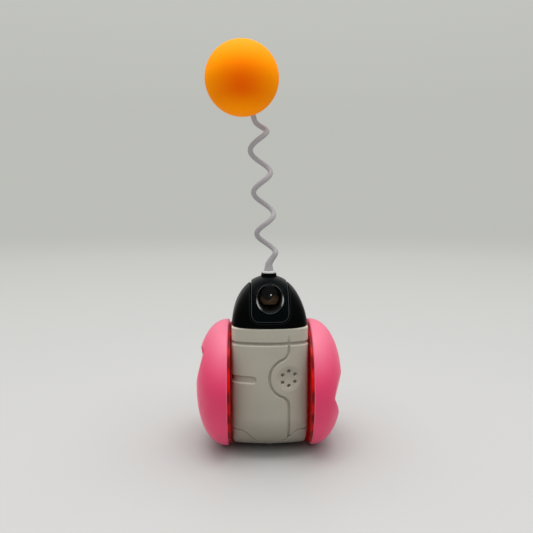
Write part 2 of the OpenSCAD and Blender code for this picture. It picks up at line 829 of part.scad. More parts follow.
bezel_flare = 1.2;
bezel_tail = 3;
bezel_sill = 0.5;
lens_ledge = 0.8;
module eye_bezel() {
    color([0.08, 0.085, 0.09])
    intersection() {
        turned_eye()
            polygon([[lens_r - lens_ledge, bezel_tail], [eye_r, bezel_tail], [eye_r, -seam_hd],
                     [lens_r + bezel_flare, -seam_hd], [lens_r, -bezel_sill], [lens_r, lens_t],
                     [lens_r - lens_ledge, lens_t]]);
        head_solid(-plate_proud);
    }
}

lens_bulge = 0.9;
lens_ball_r = (lens_r * lens_r + lens_bulge * lens_bulge) / (2 * lens_bulge);
module eye_lens() {
    color([0.16, 0.12, 0.08])
    translate([0, lens_y, eye_z])
        rotate([-90, 0, 0])
            intersection() {
                translate([0, 0, -lens_bulge])
                    cylinder(h = lens_t + lens_bulge - fit_gap, r = lens_r - fit_gap);
                translate([0, 0, lens_ball_r - lens_bulge])
                    sphere(r = lens_ball_r, $fn = 96);
            }
}

// Lamp behind the lens on its collar
led_r = 2.5;
led_len = 6;
led_collar_r = lens_r - lens_ledge - fit_gap;
led_collar_t = bezel_tail - lens_t;
module eye_led() {
    color([0.85, 0.86, 0.88])
    translate([0, lens_y + lens_t, eye_z])
        rotate([-90, 0, 0])
            union() {
                cylinder(h = led_collar_t, r = led_collar_r);
                cylinder(h = led_len, r = led_r);
            }
}

// Collar that holds the wand on the crown
plug_end_gap = 0.4;
socket_stem_len = plug_stem + 2;
module wand_socket() {
    color([0.04, 0.045, 0.05])
    difference() {
        rotate_extrude($fn = 96)
            polygon([[0, collar_seat_z - socket_stem_len], [socket_stem_r, collar_seat_z - socket_stem_len],
                     [socket_stem_r, collar_seat_z], [collar_d / 2 + collar_flare / 2, collar_seat_z],
                     [collar_d / 2 + collar_flare / 2, collar_seat_z + collar_foot],
                     [collar_d / 2, collar_top_z],
                     [0, collar_top_z]]);
        translate([0, 0, collar_top_z - plug_stem - plug_end_gap])
            cylinder(h = plug_stem + plug_end_gap + over, r = plug_stem_d / 2 + fit_gap);
    }
}

plug_chamfer = 0.4;
module wand_plug() {
    color([0.86, 0.86, 0.87])
    rotate_extrude($fn = 96)
        polygon([[0, collar_top_z - plug_stem], [plug_stem_d / 2, collar_top_z - plug_stem],
                 [plug_stem_d / 2, collar_top_z], [plug_d / 2, collar_top_z],
                 [plug_d / 2, plug_top_z - plug_chamfer], [plug_d / 2 - plug_chamfer, plug_top_z],
                 [0, plug_top_z]]);
}

module axle() {
    color([0.75, 0.76, 0.78])
    rod_x(-axle_half, axle_half, axle_r);
}

module loudspeaker() {
    color([0.25, 0.25, 0.27])
    union() {
        speaker_rod(speaker_y, speaker_y + speaker_rim_t, speaker_d / 2);
        speaker_rod(speaker_y + speaker_rim_t - eps, speaker_y + speaker_t, magnet_d / 2);
    }
}

// Ring that clamps the loudspeaker on its seat
clamp_t = 1.2;
module speaker_ring() {
    clamp_y = speaker_y + speaker_rim_t;
    color([0.8, 0.8, 0.78])
    difference() {
        speaker_rod(clamp_y, clamp_y + clamp_t, speaker_d / 2);
        speaker_rod(speaker_y, clamp_y + clamp_t + over, magnet_d / 2 + fit_gap);
    }
}

// Sound board on two posts of the front shell
board_post_in = 3.4;
board_post_x = [board_x0 + board_post_in, board_x0 + board_w - board_post_in];
board_screw_len = 6;
module sound_board() {
    color([0.1, 0.35, 0.18])
    difference() {
        translate([board_x0, board_y, board_z])
            cube([board_w, board_t, board_h]);
        for (x = board_post_x)
            rod_y(x, board_z + board_h / 2, board_y - over, board_y + board_t + over, screw_d / 2);
    }
}

module board_screws() {
    color([0.72, 0.72, 0.74])
    for (x = board_post_x)
        screw_y(x, board_z + board_h / 2, board_back_y, board_screw_len);
}

chip_r = 3;
chip_t = 1.4;
board_margin = 0.6;
board_back_y = board_y + board_t;
module sound_chip() {
    color([0.08, 0.08, 0.08])
    translate([board_x0 + board_w / 2, 0, board_z + board_h - chip_r - board_margin])
        rod_y(0, 0, board_back_y, board_back_y + chip_t, chip_r);
}

// Can of the shake switch
shake_r = 2;
shake_len = 8;
module motion_switch() {
    color([0.8, 0.78, 0.7])
    translate([board_x0 + board_w / 2, board_back_y + shake_r, board_z + shake_r + board_margin])
        rotate([0, 90, 0])
            cylinder(h = shake_len, r = shake_r, center = true);
}

// The tray is open to the door
module cell_tray() {
    color([0.2, 0.2, 0.21])
    union() {
        difference() {
            translate([-tray_half_w, tray_front_y, cell_z - tray_half_h])
                cube([2 * tray_half_w, tray_back_y - tray_front_y, 2 * tray_half_h]);
            translate([tray_wall - tray_half_w, tray_front_y + tray_wall, cell_z - tray_half_h + tray_wall])
                cube([2 * (tray_half_w - tray_wall), cell_d * 2, 2 * (tray_half_h - tray_wall)]);
        }
        for (side = [-1, 1])
            translate([side * (tray_half_w + tray_lug / 2 - eps) - tray_lug / 2, tray_back_y - tray_foot_h,
                       cell_z - tray_half_h])
                cube([tray_lug, tray_foot_h, 2 * tray_half_h]);
    }
}

module button_cells() {
    color([0.82, 0.83, 0.84])
    for (i = [0:cells - 1])
        translate([(i - cells / 2) * cell_h + eps, cell_y, cell_z])
            rotate([0, 90, 0])
                cylinder(h = cell_h - 2 * eps, r = cell_d / 2);
}

contact_w = 7;
module cell_contacts() {
    color([0.83, 0.75, 0.5])
    for (side = [-1, 1])
        translate([side * (cells * cell_h / 2 + cell_gap + contact_t / 2) - contact_t / 2,
                   tray_front_y + tray_wall, cell_z - contact_w / 2])
            cube([contact_t, cell_d, contact_w]);
}

// Slide switch behind the back wall
switch_w = 11;
switch_h = 6;
switch_t = 3.4;
switch_seat_gap = 0.5;
switch_y = depth_at(switch_w / 2, switch_z + switch_h / 2, shell_wall) - switch_seat_gap;
knob_gap = 0.3;
module switch_body() {
    color([0.35, 0.35, 0.37])
    translate([-switch_w / 2, switch_y - switch_t, switch_z - switch_h / 2])
        cube([switch_w, switch_t, switch_h]);
}

module switch_knob() {
    color([0.12, 0.12, 0.13])
    translate([-switch_travel / 2 - knob_w / 2, switch_y + knob_gap, switch_z - knob_h / 2])
        cube([knob_w, depth_at(0, switch_z, 0) + knob_proud - switch_y - knob_gap, knob_h]);
}

// Profile of a wheel's dome: a squarish quarter ellipse from the rim to the crown
dome_steps = 20;
function dome_curve(r, depth) =
    [for (i = [0:dome_steps])
        let (a = 90 * i / dome_steps)
        [r * pow(max(0, cos(a)), 2 / dome_square), rim_x + depth * pow(max(0, sin(a)), 2 / dome_square)]];

// Tilted ring with a steep outer wall and a gentle inner slope, which scoops the dome
scoop_off = scoop_r - scoop_near;
scoop_reach = scoop_r + 6;
scoop_top = max(scoop_wall_rise * (scoop_reach - scoop_r), scoop_slope_rise * scoop_r) + 2;
scoop_lean = 65.2;
module scoop(turn) {
    translate([0, 0, axle_z])
        rotate([turn, 0, 0])
            translate([dome_top_x - scoop_drop, scoop_off, 0])
                rotate([scoop_lean, 0, 0])
                    rotate([0, 0, scoop_tilt])
                        rotate([0, 90, 0])
                            rotate_extrude($fn = 96)
                                polygon([[0, scoop_slope_rise * scoop_r], [scoop_r, 0],
                                         [scoop_reach, scoop_wall_rise * (scoop_reach - scoop_r)],
                                         [scoop_reach, scoop_top], [0, scoop_top]]);
}

// Tread of shallow flats, on one of which the wheel stands
tread_rise = 0.1;
tread_point_r = wheel_r / cos(180 / tread_flats);
module tread() {
    translate([rim_x, 0, axle_z])
        rotate([0, 90, 0])
            linear_extrude(tread_w)
                difference() {
                    polygon([for (i = [0:tread_flats - 1])
                        let (a = 360 * (i + 0.5) / tread_flats)
                        tread_point_r * [cos(a), sin(a)]]);
                    circle(r = wheel_r - dome_wall / 2);
                }
}

module wheel_dome(turn) {
    difference() {
        union() {
            turned_x()
                polygon(concat(dome_curve(wheel_r - tread_rise, dome_depth),
                               reversed(dome_curve(wheel_r - dome_wall, dome_depth - crown_wall))));
            tread();
        }
        scoop(turn);
    }
}

spigot_wall = 1.6;
hub_r = bush_d / 2 + hub_wall;
module wheel_disc() {
    difference() {
        union() {
            rod_x(disc_x, rim_x, flange_r);
            rod_x(rim_x - eps, rim_x + spigot_h, spigot_r);
            rod_x(disc_x, bush_end_x, hub_r);
        }
        rod_x(disc_x - over, bush_end_x + over, bush_d / 2);
        turned_x()
            translate([hub_r, rim_x])
                square([spigot_r - spigot_wall - hub_r, spigot_h + over]);
        for (i = [0:notches - 1])
            translate([0, 0, axle_z])
                rotate([360 * i / notches, 0, 0])
                    translate([disc_x - over, -notch_w / 2, flange_r - notch_d])
                        cube([flange_t + over - eps, notch_w, notch_d + over]);
    }
}

module bush() {
    difference() {
        rod_x(disc_x, bush_end_x, bush_d / 2);
        rod_x(disc_x - over, bush_end_x + over, axle_r + running_gap);
    }
}

module clip() {
    difference() {
        rod_x(clip_x, clip_x + clip_t, clip_d / 2);
        rod_x(clip_x - over, clip_x + clip_t + over, axle_r + eps);
    }
}

module left_wheel_dome() { color([0.83, 0.3, 0.42]) mirror([1, 0, 0]) wheel_dome(scoop_turn_left); }
module right_wheel_dome() { color([0.83, 0.3, 0.42]) wheel_dome(scoop_turn_right); }
module left_wheel_disc() { color([0.7, 0.02, 0.02]) mirror([1, 0, 0]) wheel_disc(); }
module right_wheel_disc() { color([0.7, 0.02, 0.02]) wheel_disc(); }
module left_bush() { color([0.8, 0.68, 0.35]) mirror([1, 0, 0]) bush(); }
module right_bush() { color([0.8, 0.68, 0.35]) bush(); }
module left_clip() { color([0.6, 0.6, 0.62]) mirror([1, 0, 0]) clip(); }
module right_clip() { color([0.6, 0.6, 0.62]) clip(); }

// Direction from the ball's centre to the point where the wand enters
entry_dir = [cos(entry_dip) * cos(entry_turn), cos(entry_dip) * sin(entry_turn), -sin(entry_dip)];
entry = ball_c + ball_r * entry_dir;
wand_foot = [0, 0, plug_top_z];
coil_start_z = plug_top_z + strand_d;
coil_end = entry + strand_d * entry_dir;
coil_in = 9;
coil_out = 7;

// The coil's axis leans from the foot towards the ball
function coil_axis(z) =
    let (t = (z - plug_top_z) / (coil_end[2] - plug_top_z))
    [(coil_end[0] + coil_lean_x) * t, (coil_end[1] + coil_lean_y) * t, z];
coil_lean_x = 1.5;
coil_lean_y = -1.5;
function soft(t) = let (c = min(1, max(0, t))) c * c * (3 - 2 * c);
function mix(a, b, t) = a + (b - a) * t;
function coil_point(z) =
    let (turn = 360 * max(0, z - seam_z - coil_phase_up) / coil_pitch,
         ring = coil_axis(z) + coil_r * [cos(turn), sin(turn), 0],
         rise = [0, 0, z],
         fall = coil_end + entry_dir * (coil_end[2] - z) / -entry_dir[2],
         grown = mix(rise, ring, soft((z - coil_start_z) / coil_in)))
    mix(grown, fall, soft((z - coil_end[2] + coil_out) / coil_out));

// Centre line of the wand: straight foot, coil and straight end in the ball's socket
rings_per_curl = 8;
coil_steps = round((coil_end[2] - coil_start_z) / coil_pitch * rings_per_curl);
function wand_line(steps) = concat(
    [wand_foot],
    [for (i = [0:steps]) coil_point(mix(coil_start_z, coil_end[2], i / steps))],
    [entry - entry_depth * entry_dir]);

// Frame carried along the line without twisting
function unit(v) = v / norm(v);
function tangent(line, i) = unit(line[min(len(line) - 1, i + 1)] - line[max(0, i - 1)]);
function end_tangent(line, i) =
    i <= 1 ? unit(line[1] - line[0])
    : i >= len(line) - 2 ? unit(line[len(line) - 1] - line[len(line) - 2])
    : tangent(line, i);
function carried(side, t) = unit(side - t * (side * t));
function sides_along(line) =
    [for (i = 0, s = [1, 0, 0]; i < len(line); i = i + 1,
          s = i < len(line) ? carried(s, end_tangent(line, i)) : s) s];

strand_sides = 6;
module wand_spring() {
    line = wand_line(coil_steps);
    sides = sides_along(line);
    points = [for (i = [0:len(line) - 1]) for (j = [0:strand_sides - 1])
        let (t = end_tangent(line, i),
             a = 360 * j / strand_sides)
        line[i] + strand_d / 2 * (sides[i] * cos(a) + cross(t, sides[i]) * sin(a))];
    last = (len(line) - 1) * strand_sides;
    color([0.72, 0.7, 0.72])
    polyhedron(points, concat(grid_faces(len(line), strand_sides, true, 0, false),
                              [row(0, strand_sides), reversed(row(last, strand_sides))]), 4);
}

// Least gap of the wand to itself, over points more than half a turn apart
gap_steps = coil_steps * 4;
gap_line = wand_line(gap_steps);
gap_apart = rings_per_curl * 2;
least_gap = min([for (i = [0:gap_steps - gap_apart]) for (j = [i + gap_apart:gap_steps])
    norm(gap_line[i] - gap_line[j])]) - strand_d;
echo(wand_least_gap_mm = least_gap);

// Hollow ball with a blind socket for the wand
ball_socket_wall = 2;
ball_socket_floor = 1.5;
module ball() {
    bore_r = strand_d / 2 + entry_gap;
    color([0.85, 0.4, 0.03])
    translate(ball_c)
        rotate([0, 180 - (90 - entry_dip), entry_turn])
            difference() {
                union() {
                    difference() {
                        sphere(r = ball_r, $fn = 96);
                        sphere(r = ball_r - ball_wall, $fn = 96);
                    }
                    translate([0, 0, ball_r - entry_depth - entry_gap - ball_socket_floor])
                        cylinder(h = entry_depth + ball_socket_floor - ball_wall / 2,
                                 r = bore_r + ball_socket_wall);
                }
                translate([0, 0, ball_r - entry_depth - entry_gap])
                    cylinder(h = entry_depth * 2, r = bore_r);
            }
}

front_shell();
rear_shell();
bottom_cover();
cover_screws();
shell_screws();
battery_door();
door_screw();
head_shell();
face_plate();
eye_bezel();
eye_lens();
eye_led();
wand_socket();
wand_plug();
axle();
ballast();
loudspeaker();
speaker_ring();
sound_board();
board_screws();
sound_chip();
motion_switch();
cell_tray();
button_cells();
cell_contacts();
switch_body();
switch_knob();
left_wheel_dome();
left_wheel_disc();
left_bush();
left_clip();
right_wheel_dome();
right_wheel_disc();
right_bush();
right_clip();
wand_spring();
ball();
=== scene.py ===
"""Wobble pet toy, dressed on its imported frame: shells, wheels, wand, ball, materials, light and camera."""

import json
import math

import bmesh
import bpy
import numpy as np
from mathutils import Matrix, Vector

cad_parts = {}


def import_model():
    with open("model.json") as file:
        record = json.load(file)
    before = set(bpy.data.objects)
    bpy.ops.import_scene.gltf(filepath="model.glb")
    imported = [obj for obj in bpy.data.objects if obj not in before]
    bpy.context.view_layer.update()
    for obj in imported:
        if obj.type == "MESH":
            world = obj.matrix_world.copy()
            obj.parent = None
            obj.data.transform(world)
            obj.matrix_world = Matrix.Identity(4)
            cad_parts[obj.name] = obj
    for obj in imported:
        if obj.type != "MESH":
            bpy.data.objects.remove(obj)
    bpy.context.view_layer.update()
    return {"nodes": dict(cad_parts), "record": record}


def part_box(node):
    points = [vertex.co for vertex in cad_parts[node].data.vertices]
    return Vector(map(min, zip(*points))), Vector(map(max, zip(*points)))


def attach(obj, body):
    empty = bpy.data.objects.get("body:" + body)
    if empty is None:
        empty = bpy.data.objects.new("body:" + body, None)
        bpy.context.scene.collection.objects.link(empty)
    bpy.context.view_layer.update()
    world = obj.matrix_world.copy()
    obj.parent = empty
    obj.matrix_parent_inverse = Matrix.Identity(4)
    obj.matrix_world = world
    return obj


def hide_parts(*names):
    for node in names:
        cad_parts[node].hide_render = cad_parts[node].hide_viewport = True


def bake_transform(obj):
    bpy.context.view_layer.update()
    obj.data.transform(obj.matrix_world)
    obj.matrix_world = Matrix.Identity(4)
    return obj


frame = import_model()

MM = 0.001

# Sizes of the object in millimetres
HALF_W = 21.0
BELLY_HD, BELLY_Z = 28.5, 24.0
SEAM_HD, SEAM_Z = 24.5, 72.4
FLOOR_GAP, WALL, GAP = 1.2, 2.2, 0.3
BODY_SQUARE, CROWN, TUCK = 14.0, 4.5 / BELLY_HD, 1.2
FIRST_DIP = math.radians(13)
BELT_Z, GROOVE_D, EDGE_ROLL = 64.6, 1.2, 0.7
COVER_IN, COVER_OUT = 4.0, 16.0
COVER_MID, COVER_SIDE = 6.0, 16.0
COVER_HOLE_Y, COVER_HOLE_R, COVER_HOLE_TOP = 8.0, 2.1, 3.2
SHELL_LOW = COVER_MID + GAP
SPEAKER_X, SPEAKER_Z = 10.1, 45.7
DISH_R, DISH_D = 7.2, 1.1
HOLE_RING, HOLE_R, HOLE_D, HOLES = 4.0, 0.9, 1.9, 6
BOW_R, BOW_FILLET = 10.6, 6.0
RECESS_Z, RECESS_H, RECESS_D, RECESS_END = 45.0, 3.8, 0.9, -7.8
HEAD_DROP = 2.9
HEAD_C = SEAM_Z - HEAD_DROP
CROWN_Z = SEAM_Z + 25.4
HEAD_HALF = HALF_W + 0.3
HEAD_SQUARE = 2.4
HEAD_LAST = math.radians(80)
HEAD_WALL = 3.0
PLATE_HALF, PLATE_LOW, PLATE_CORNER = 10.3, SEAM_Z + 3.4, 4.5
PLATE_GAP, PLATE_T, PLATE_PROUD, PLATE_ROLL = 0.7, 1.3, 0.3, 0.45
POCKET_ROLL, HEAD_ROLL = 0.35, 0.5
EYE_Z, EYE_R = SEAM_Z + 15.4, 7.5
LENS_Y, LENS_R, LENS_T, LENS_BULGE = -13.5, 5.8, 1.6, 0.9
LENS_LEDGE, LENS_PROUD = 0.8, 0.45
EYE_FLOOR = -LENS_Y - 3.2
COLLAR_SEAT, COLLAR_TOP, PLUG_TOP = 96.6, 99.4, 100.8
COLLAR_R, COLLAR_FOOT_R, PLUG_R = 4.3, 4.7, 4.1
STEM_R, PLUG_STEM_R, PLUG_BORE_R = 3.4, 2.0, 2.05
WHEEL_R, RIM_X, DOME_DEPTH, DOME_SQUARE = 36.0, 23.0, 18.7, 2.25
DOME_WALL, CROWN_WALL = 2.4, 7.2
SCOOP_R, SCOOP_OFF, SCOOP_DROP = 39.75, 22.75, 6.9
SCOOP_TILT, SCOOP_LEAN = math.radians(2.4), math.radians(65.2)
SCOOP_WALL, SCOOP_SLOPE, SCOOP_SOFT = 4.1, 0.31, 0.2
SCOOP_TURN = {"left": math.radians(229), "right": math.radians(84)}
DISC_X, FLANGE_R, SPIGOT_R, SPIGOT_H, HUB_R = 21.6, 34.5, 33.1, 2.2, 6.3
SPIGOT_WALL = 1.6
BORE_R, BUSH_END = 4.3, 30.6
NOTCHES, NOTCH_W, NOTCH_D, NOTCH_SOFT = 14, 4.0, 0.3, 0.9
STRAND_R, COIL_R, COIL_PITCH, COIL_PHASE = 1.45, 5.2, 23.1, SEAM_Z + 37.8
COIL_IN, COIL_OUT = 9.0, 7.0
FLARE_R, FLARE_H = 1.3, 4.4
WAND_FOOT, WAND_BEND, WAND_END = (0, 0, 101), (-3.2, -0.3, 143), (-7.9, 0.9, 184)
BALL_C, BALL_R = np.array([-14.7, -5.0, 205.8]), 20.0
ENTRY_TURN, ENTRY_DIP, ENTRY_DEPTH = math.radians(41), math.radians(67), 5.0
DOOR_HALF, DOOR_LOW, DOOR_TOP, DOOR_T = 11.65, 33.95, 56.85, 1.6
POCKET_D, WINDOW_D = 2.0, 2.4
DOOR_SCREW_Z, DOOR_HOLE_R, DOOR_HOLE_D = 37.25, 2.2, 1.0
BOSS_X, BOSS_LOW, BOSS_HIGH, BOSS_HOLE_D = 14.4, 26.6, 67.0, 2.7
BOSSES = [(x, z) for x in (-BOSS_X, BOSS_X) for z in (BOSS_LOW, BOSS_HIGH)]
SCREW_HEAD_R, SCREW_HEAD_H, SCREW_SUNK = 2.05, 1.6, 0.8
SCREW_R, SCREW_L, CROSS_D = 0.9, 5.5, 0.8
SWITCH_Z, SLOT_HALF_W, SLOT_HALF_H = 60.0, 3.8, 2.0
RIB_PITCH, RIB_H = 1.1, 0.14


def smooth(low, high, value):
    """Soft step from 0 at low to 1 at high."""
    t = np.clip((value - low) / (high - low), 0, 1)
    return t * t * (3 - 2 * t)


def fade(low, high, value):
    """Soft step from 1 at low to 0 at high."""
    return 1 - smooth(low, high, value)


def samples(*spans):
    """Rising values over spans of (start, end, step), with each joint kept once."""
    values = [np.array([spans[0][0]])]
    for start, end, step in spans:
        count = max(1, round((end - start) / step))
        values.append(np.linspace(start, end, count + 1)[1:])
    return np.concatenate(values)


def rolled(edge, radius):
    """Drop of a rounded edge at a distance from it."""
    t = np.clip(radius - edge, 0, radius)
    return radius - np.sqrt(np.maximum(radius * radius - t * t, 0))


def full_turn(count):
    """Angles in even steps round a circle."""
    return np.linspace(0, 2 * math.pi, count + 1)[:-1]


def points(x, y, z):
    """Points from three coordinates that broadcast together."""
    return np.stack(np.broadcast_arrays(x, y, z), -1)


def normals(grid, wrap=False):
    """Unit normals of a grid of points, all to one side of it."""
    if wrap:
        wide = np.concatenate([grid[:, -1:], grid, grid[:, :1]], axis=1)
        along = (wide[:, 2:] - wide[:, :-2]) / 2
    else:
        along = np.gradient(grid, axis=1)
    n = np.cross(along, np.gradient(grid, axis=0))
    return n / np.maximum(np.linalg.norm(n, axis=-1, keepdims=True), 1e-12)


class Shape:
    """Points and faces of one piece, in millimetres."""

    def __init__(self):
        self.points = []
        self.faces = []
        self.count = 0

    def quads(self, index, wrap=False):
        if wrap:
            index = np.concatenate([index, index[:, :1]], axis=1)
        corners = [index[:-1, :-1], index[:-1, 1:], index[1:, 1:], index[1:, :-1]]
        self.faces += np.stack(corners, -1).reshape(-1, 4).tolist()

    def grid(self, rows, wrap=False):
        rows = np.asarray(rows, float)
        index = self.count + np.arange(rows[..., 0].size).reshape(rows.shape[:-1])
        self.points.append(rows.reshape(-1, 3))
        self.count += index.size
        self.quads(index, wrap)
        return index

    def strip(self, one, two):
        """Triangles between two rows of points of any two lengths."""
        places = np.concatenate(self.points)

        def share(row):
            steps = np.linalg.norm(np.diff(places[row], axis=0), axis=1)
            return np.concatenate([[0], np.cumsum(steps)]) / max(steps.sum(), 1e-9)

        a, b = share(one), share(two)
        i = j = 0
        while i < len(one) - 1 or j < len(two) - 1:
            if j == len(two) - 1 or (i < len(one) - 1 and a[i + 1] <= b[j + 1]):
                self.faces.append([int(one[i]), int(one[i + 1]), int(two[j])])
                i += 1
            else:
                self.faces.append([int(one[i]), int(two[j + 1]), int(two[j])])
                j += 1

    def ring_strip(self, one, two):
        self.strip(np.append(one, one[0]), np.append(two, two[0]))

    def face(self, loop):
        self.faces.append([int(i) for i in loop])

    def mesh(self, name):
        mesh = bpy.data.meshes.new(name)
        mesh.from_pydata((np.concatenate(self.points) * MM).tolist(), [], self.faces)
        obj = bpy.data.objects.new(name, mesh)
        bpy.context.scene.collection.objects.link(obj)
        return mesh, obj

    def piece(self, name, body, slot, replaces, sharp=40, finish=None):
        mesh, obj = self.mesh(name)
        bm = bmesh.new()
        bm.from_mesh(mesh)
        bmesh.ops.remove_doubles(bm, verts=bm.verts, dist=1e-7)
        bmesh.ops.recalc_face_normals(bm, faces=bm.faces)
        bm.to_mesh(mesh)
        bm.free()
        mesh.polygons.foreach_set("use_smooth", [True] * len(mesh.polygons))
        mesh.set_sharp_from_angle(angle=math.radians(sharp))
        mesh.materials.append(FINISHES[finish or slot].owner)
        if body:
            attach(obj, body)
        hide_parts(*replaces)
        return obj


def capped(rings):
    """Tube through rings of points, with a face at each end."""
    shape = Shape()
    index = shape.grid(np.stack(rings), True)
    shape.face(index[0])
    shape.face(index[-1])
    return shape


def looped(rings):
    """Tube through rings of points, with its last ring joined to its first."""
    shape = Shape()
    index = shape.grid(np.stack(rings), True)
    shape.ring_strip(index[-1], index[0])
    return shape


def bowl(outside, inside):
    """Hollow shape between two grids of rings that meet at its mouth."""
    shape = Shape()
    outer, inner = shape.grid(outside, True), shape.grid(inside, True)
    shape.face(outer[-1])
    shape.face(inner[-1])
    shape.ring_strip(outer[0], inner[0])
    return shape


def slab(outside, inside):
    """Plate between two open grids of different detail, closed along its four sides."""
    shape = Shape()
    outer, inner = shape.grid(outside), shape.grid(inside)
    for side in (np.s_[0, :], np.s_[-1, :], np.s_[:, 0], np.s_[:, -1]):
        shape.strip(outer[side], inner[side])
    return shape


# Materials


class Graph:
    """Node tree of a material or a world, with short ways to add to it."""

    def __init__(self, owner):
        owner.use_nodes = True
        self.owner = owner
        self.nodes, self.links = owner.node_tree.nodes, owner.node_tree.links
        self.shader = self.nodes.get("Principled BSDF")

    def put(self, socket, value):
        """Links a socket to another one or sets its value, with a colour made opaque."""
        if isinstance(value, bpy.types.NodeSocket):
            self.links.new(value, socket)
        else:
            socket.default_value = (*value, 1) if socket.type == "RGBA" else value

    def node(self, kind, inputs=None, **settings):
        made = self.nodes.new("ShaderNode" + kind)
        for name, value in settings.items():
            setattr(made, name, value)
        for key, value in (inputs or {}).items():
            self.put(made.inputs[key], value)
        return made.outputs

    def dress(self, inputs):
        for name, value in inputs.items():
            self.put(self.shader.inputs[name], value)

    def show(self, surface, output):
        self.links.new(surface, self.nodes[output].inputs["Surface"])

    def coords(self):
        return self.node("TexCoord")["Object"]

    def axes(self, vector=None):
        return self.node("SeparateXYZ", {"Vector": self.coords() if vector is None else vector})

    def maths(self, kind, a, b=0.0):
        return self.node("Math", {0: a, 1: b}, operation=kind)["Value"]

    def total(self, first, *others):
        for other in others:
            first = self.maths("ADD", first, other)
        return first

    def distance(self, coords, place):
        return self.node("VectorMath", {0: coords, 1: place}, operation="DISTANCE")["Value"]

    def reach(self, value, low, high):
        return self.node("MapRange", {"Value": value, "From Min": low, "From Max": high})["Result"]

    def band(self, value, low, high, strength=1.0):
        """Soft step from 0 at low to a strength at high."""
        ends = {"Value": value, "From Min": low, "From Max": high, "To Max": strength}
        return self.node("MapRange", ends, interpolation_type="SMOOTHSTEP")["Result"]

    def within(self, value, inner, outer):
        """Soft step from 1 at an inner value to 0 at an outer one."""
        return self.maths("SUBTRACT", 1.0, self.band(value, inner, outer))

    def spread(self, value, low, high):
        """Stretches a noise over a range."""
        ends = {"Value": value, "From Min": 0.3, "From Max": 0.7, "To Min": low, "To Max": high}
        return self.node("MapRange", ends)["Result"]

    def noise(self, coords, scale, detail=3.0):
        inputs = {"Vector": coords, "Scale": scale, "Detail": detail, "Roughness": 0.55}
        return self.node("TexNoise", inputs)["Fac"]

    def ramp(self, value, stops):
        node = self.nodes.new("ShaderNodeValToRGB")
        elements = node.color_ramp.elements
        while len(elements) < len(stops):
            elements.new(0.5)
        for element, (place, color) in zip(elements, stops):
            element.position = place
            element.color = (*color, 1)
        self.links.new(value, node.inputs["Fac"])
        return node.outputs["Color"]

    def clouded(self, cloud, dark, light):
        return self.ramp(cloud, [(0.3, dark), (0.7, light)])

    def mix(self, factor, a, b, **settings):
        return self.node("Mix", {"Factor": factor, "A": a, "B": b}, data_type="RGBA", **settings)["Result"]

    def base(self):
        return self.shader.inputs["Base Color"].links[0].from_socket

    def tone(self, mask, color):
        """Lays another tone over the surface where a mask is 1."""
        self.dress({"Base Color": self.mix(mask, self.base(), color)})

    def painted_glow(self, strength):
        """Painted glow: gives off a little light in its own colour, standing in for the light that a soft
        translucent plastic passes.
        """
        self.dress({"Emission Color": self.base(), "Emission Strength": strength})


def material(name):
    return Graph(bpy.data.materials.new(name))


def facing(g, rise, start, full):
    """Upper or lower sides by the way they face, where light from above or from the floor is painted."""
    normal = g.axes(g.node("NewGeometry")["Normal"])
    return g.band(g.maths("MULTIPLY", normal["Z"], rise), start, full)


def from_middle(g):
    return g.maths("ABSOLUTE", g.axes()["X"])


def near_spot(g, x, z, inner, outer):
    """1 within an inner distance of a place seen from the front, 0 beyond an outer one."""
    flat = g.node("VectorMath", {0: g.coords(), 1: (1, 0, 1)}, operation="MULTIPLY")["Vector"]
    return g.within(g.distance(flat, (x * MM, 0, z * MM)), inner * MM, outer * MM)


def length(g, a, b):
    """Length of the two sides' diagonal."""
    return g.maths("SQRT", g.total(g.maths("POWER", a, 2.0), g.maths("POWER", b, 2.0)))


def plate_highlight_line(g, grow):
    """Mask of a thin line along the face plate's outline, grown outwards by a distance, where a highlight is
    painted.
    """
    beyond = g.maths("SUBTRACT", from_middle(g), (PLATE_HALF - PLATE_CORNER) * MM)
    under = g.maths("SUBTRACT", (PLATE_LOW + PLATE_CORNER) * MM, g.axes()["Z"])
    far = length(g, g.maths("MAXIMUM", beyond, 0.0), g.maths("MAXIMUM", under, 0.0))
    off = g.maths("ABSOLUTE", g.maths("SUBTRACT", far, (PLATE_CORNER + grow) * MM))
    return g.within(off, 0.1 * MM, 0.28 * MM)


def moulded(name, color, rough, vary, blotch, grain, depth, specular=0.5, metallic=0.0):
    """Moulded or pressed surface: cloudy colour, uneven gloss and a fine grain."""
    g = material(name)
    coords = g.coords()
    dark, light = (tuple(min(1, c * share) for c in color) for share in (1 - vary, 1 + vary))
    gloss = g.noise(coords, blotch * 5)
    bump = {"Distance": depth, "Strength": 1.0, "Height": g.noise(coords, grain, 2.0)}
    g.dress({"Base Color": g.clouded(g.noise(coords, blotch, 4.0), dark, light),
             "Roughness": g.spread(gloss, rough * 0.88, min(1, rough * 1.12)),
             "Normal": g.node("Bump", bump)["Normal"],
             "Specular IOR Level": specular, "Metallic": metallic})
    return g


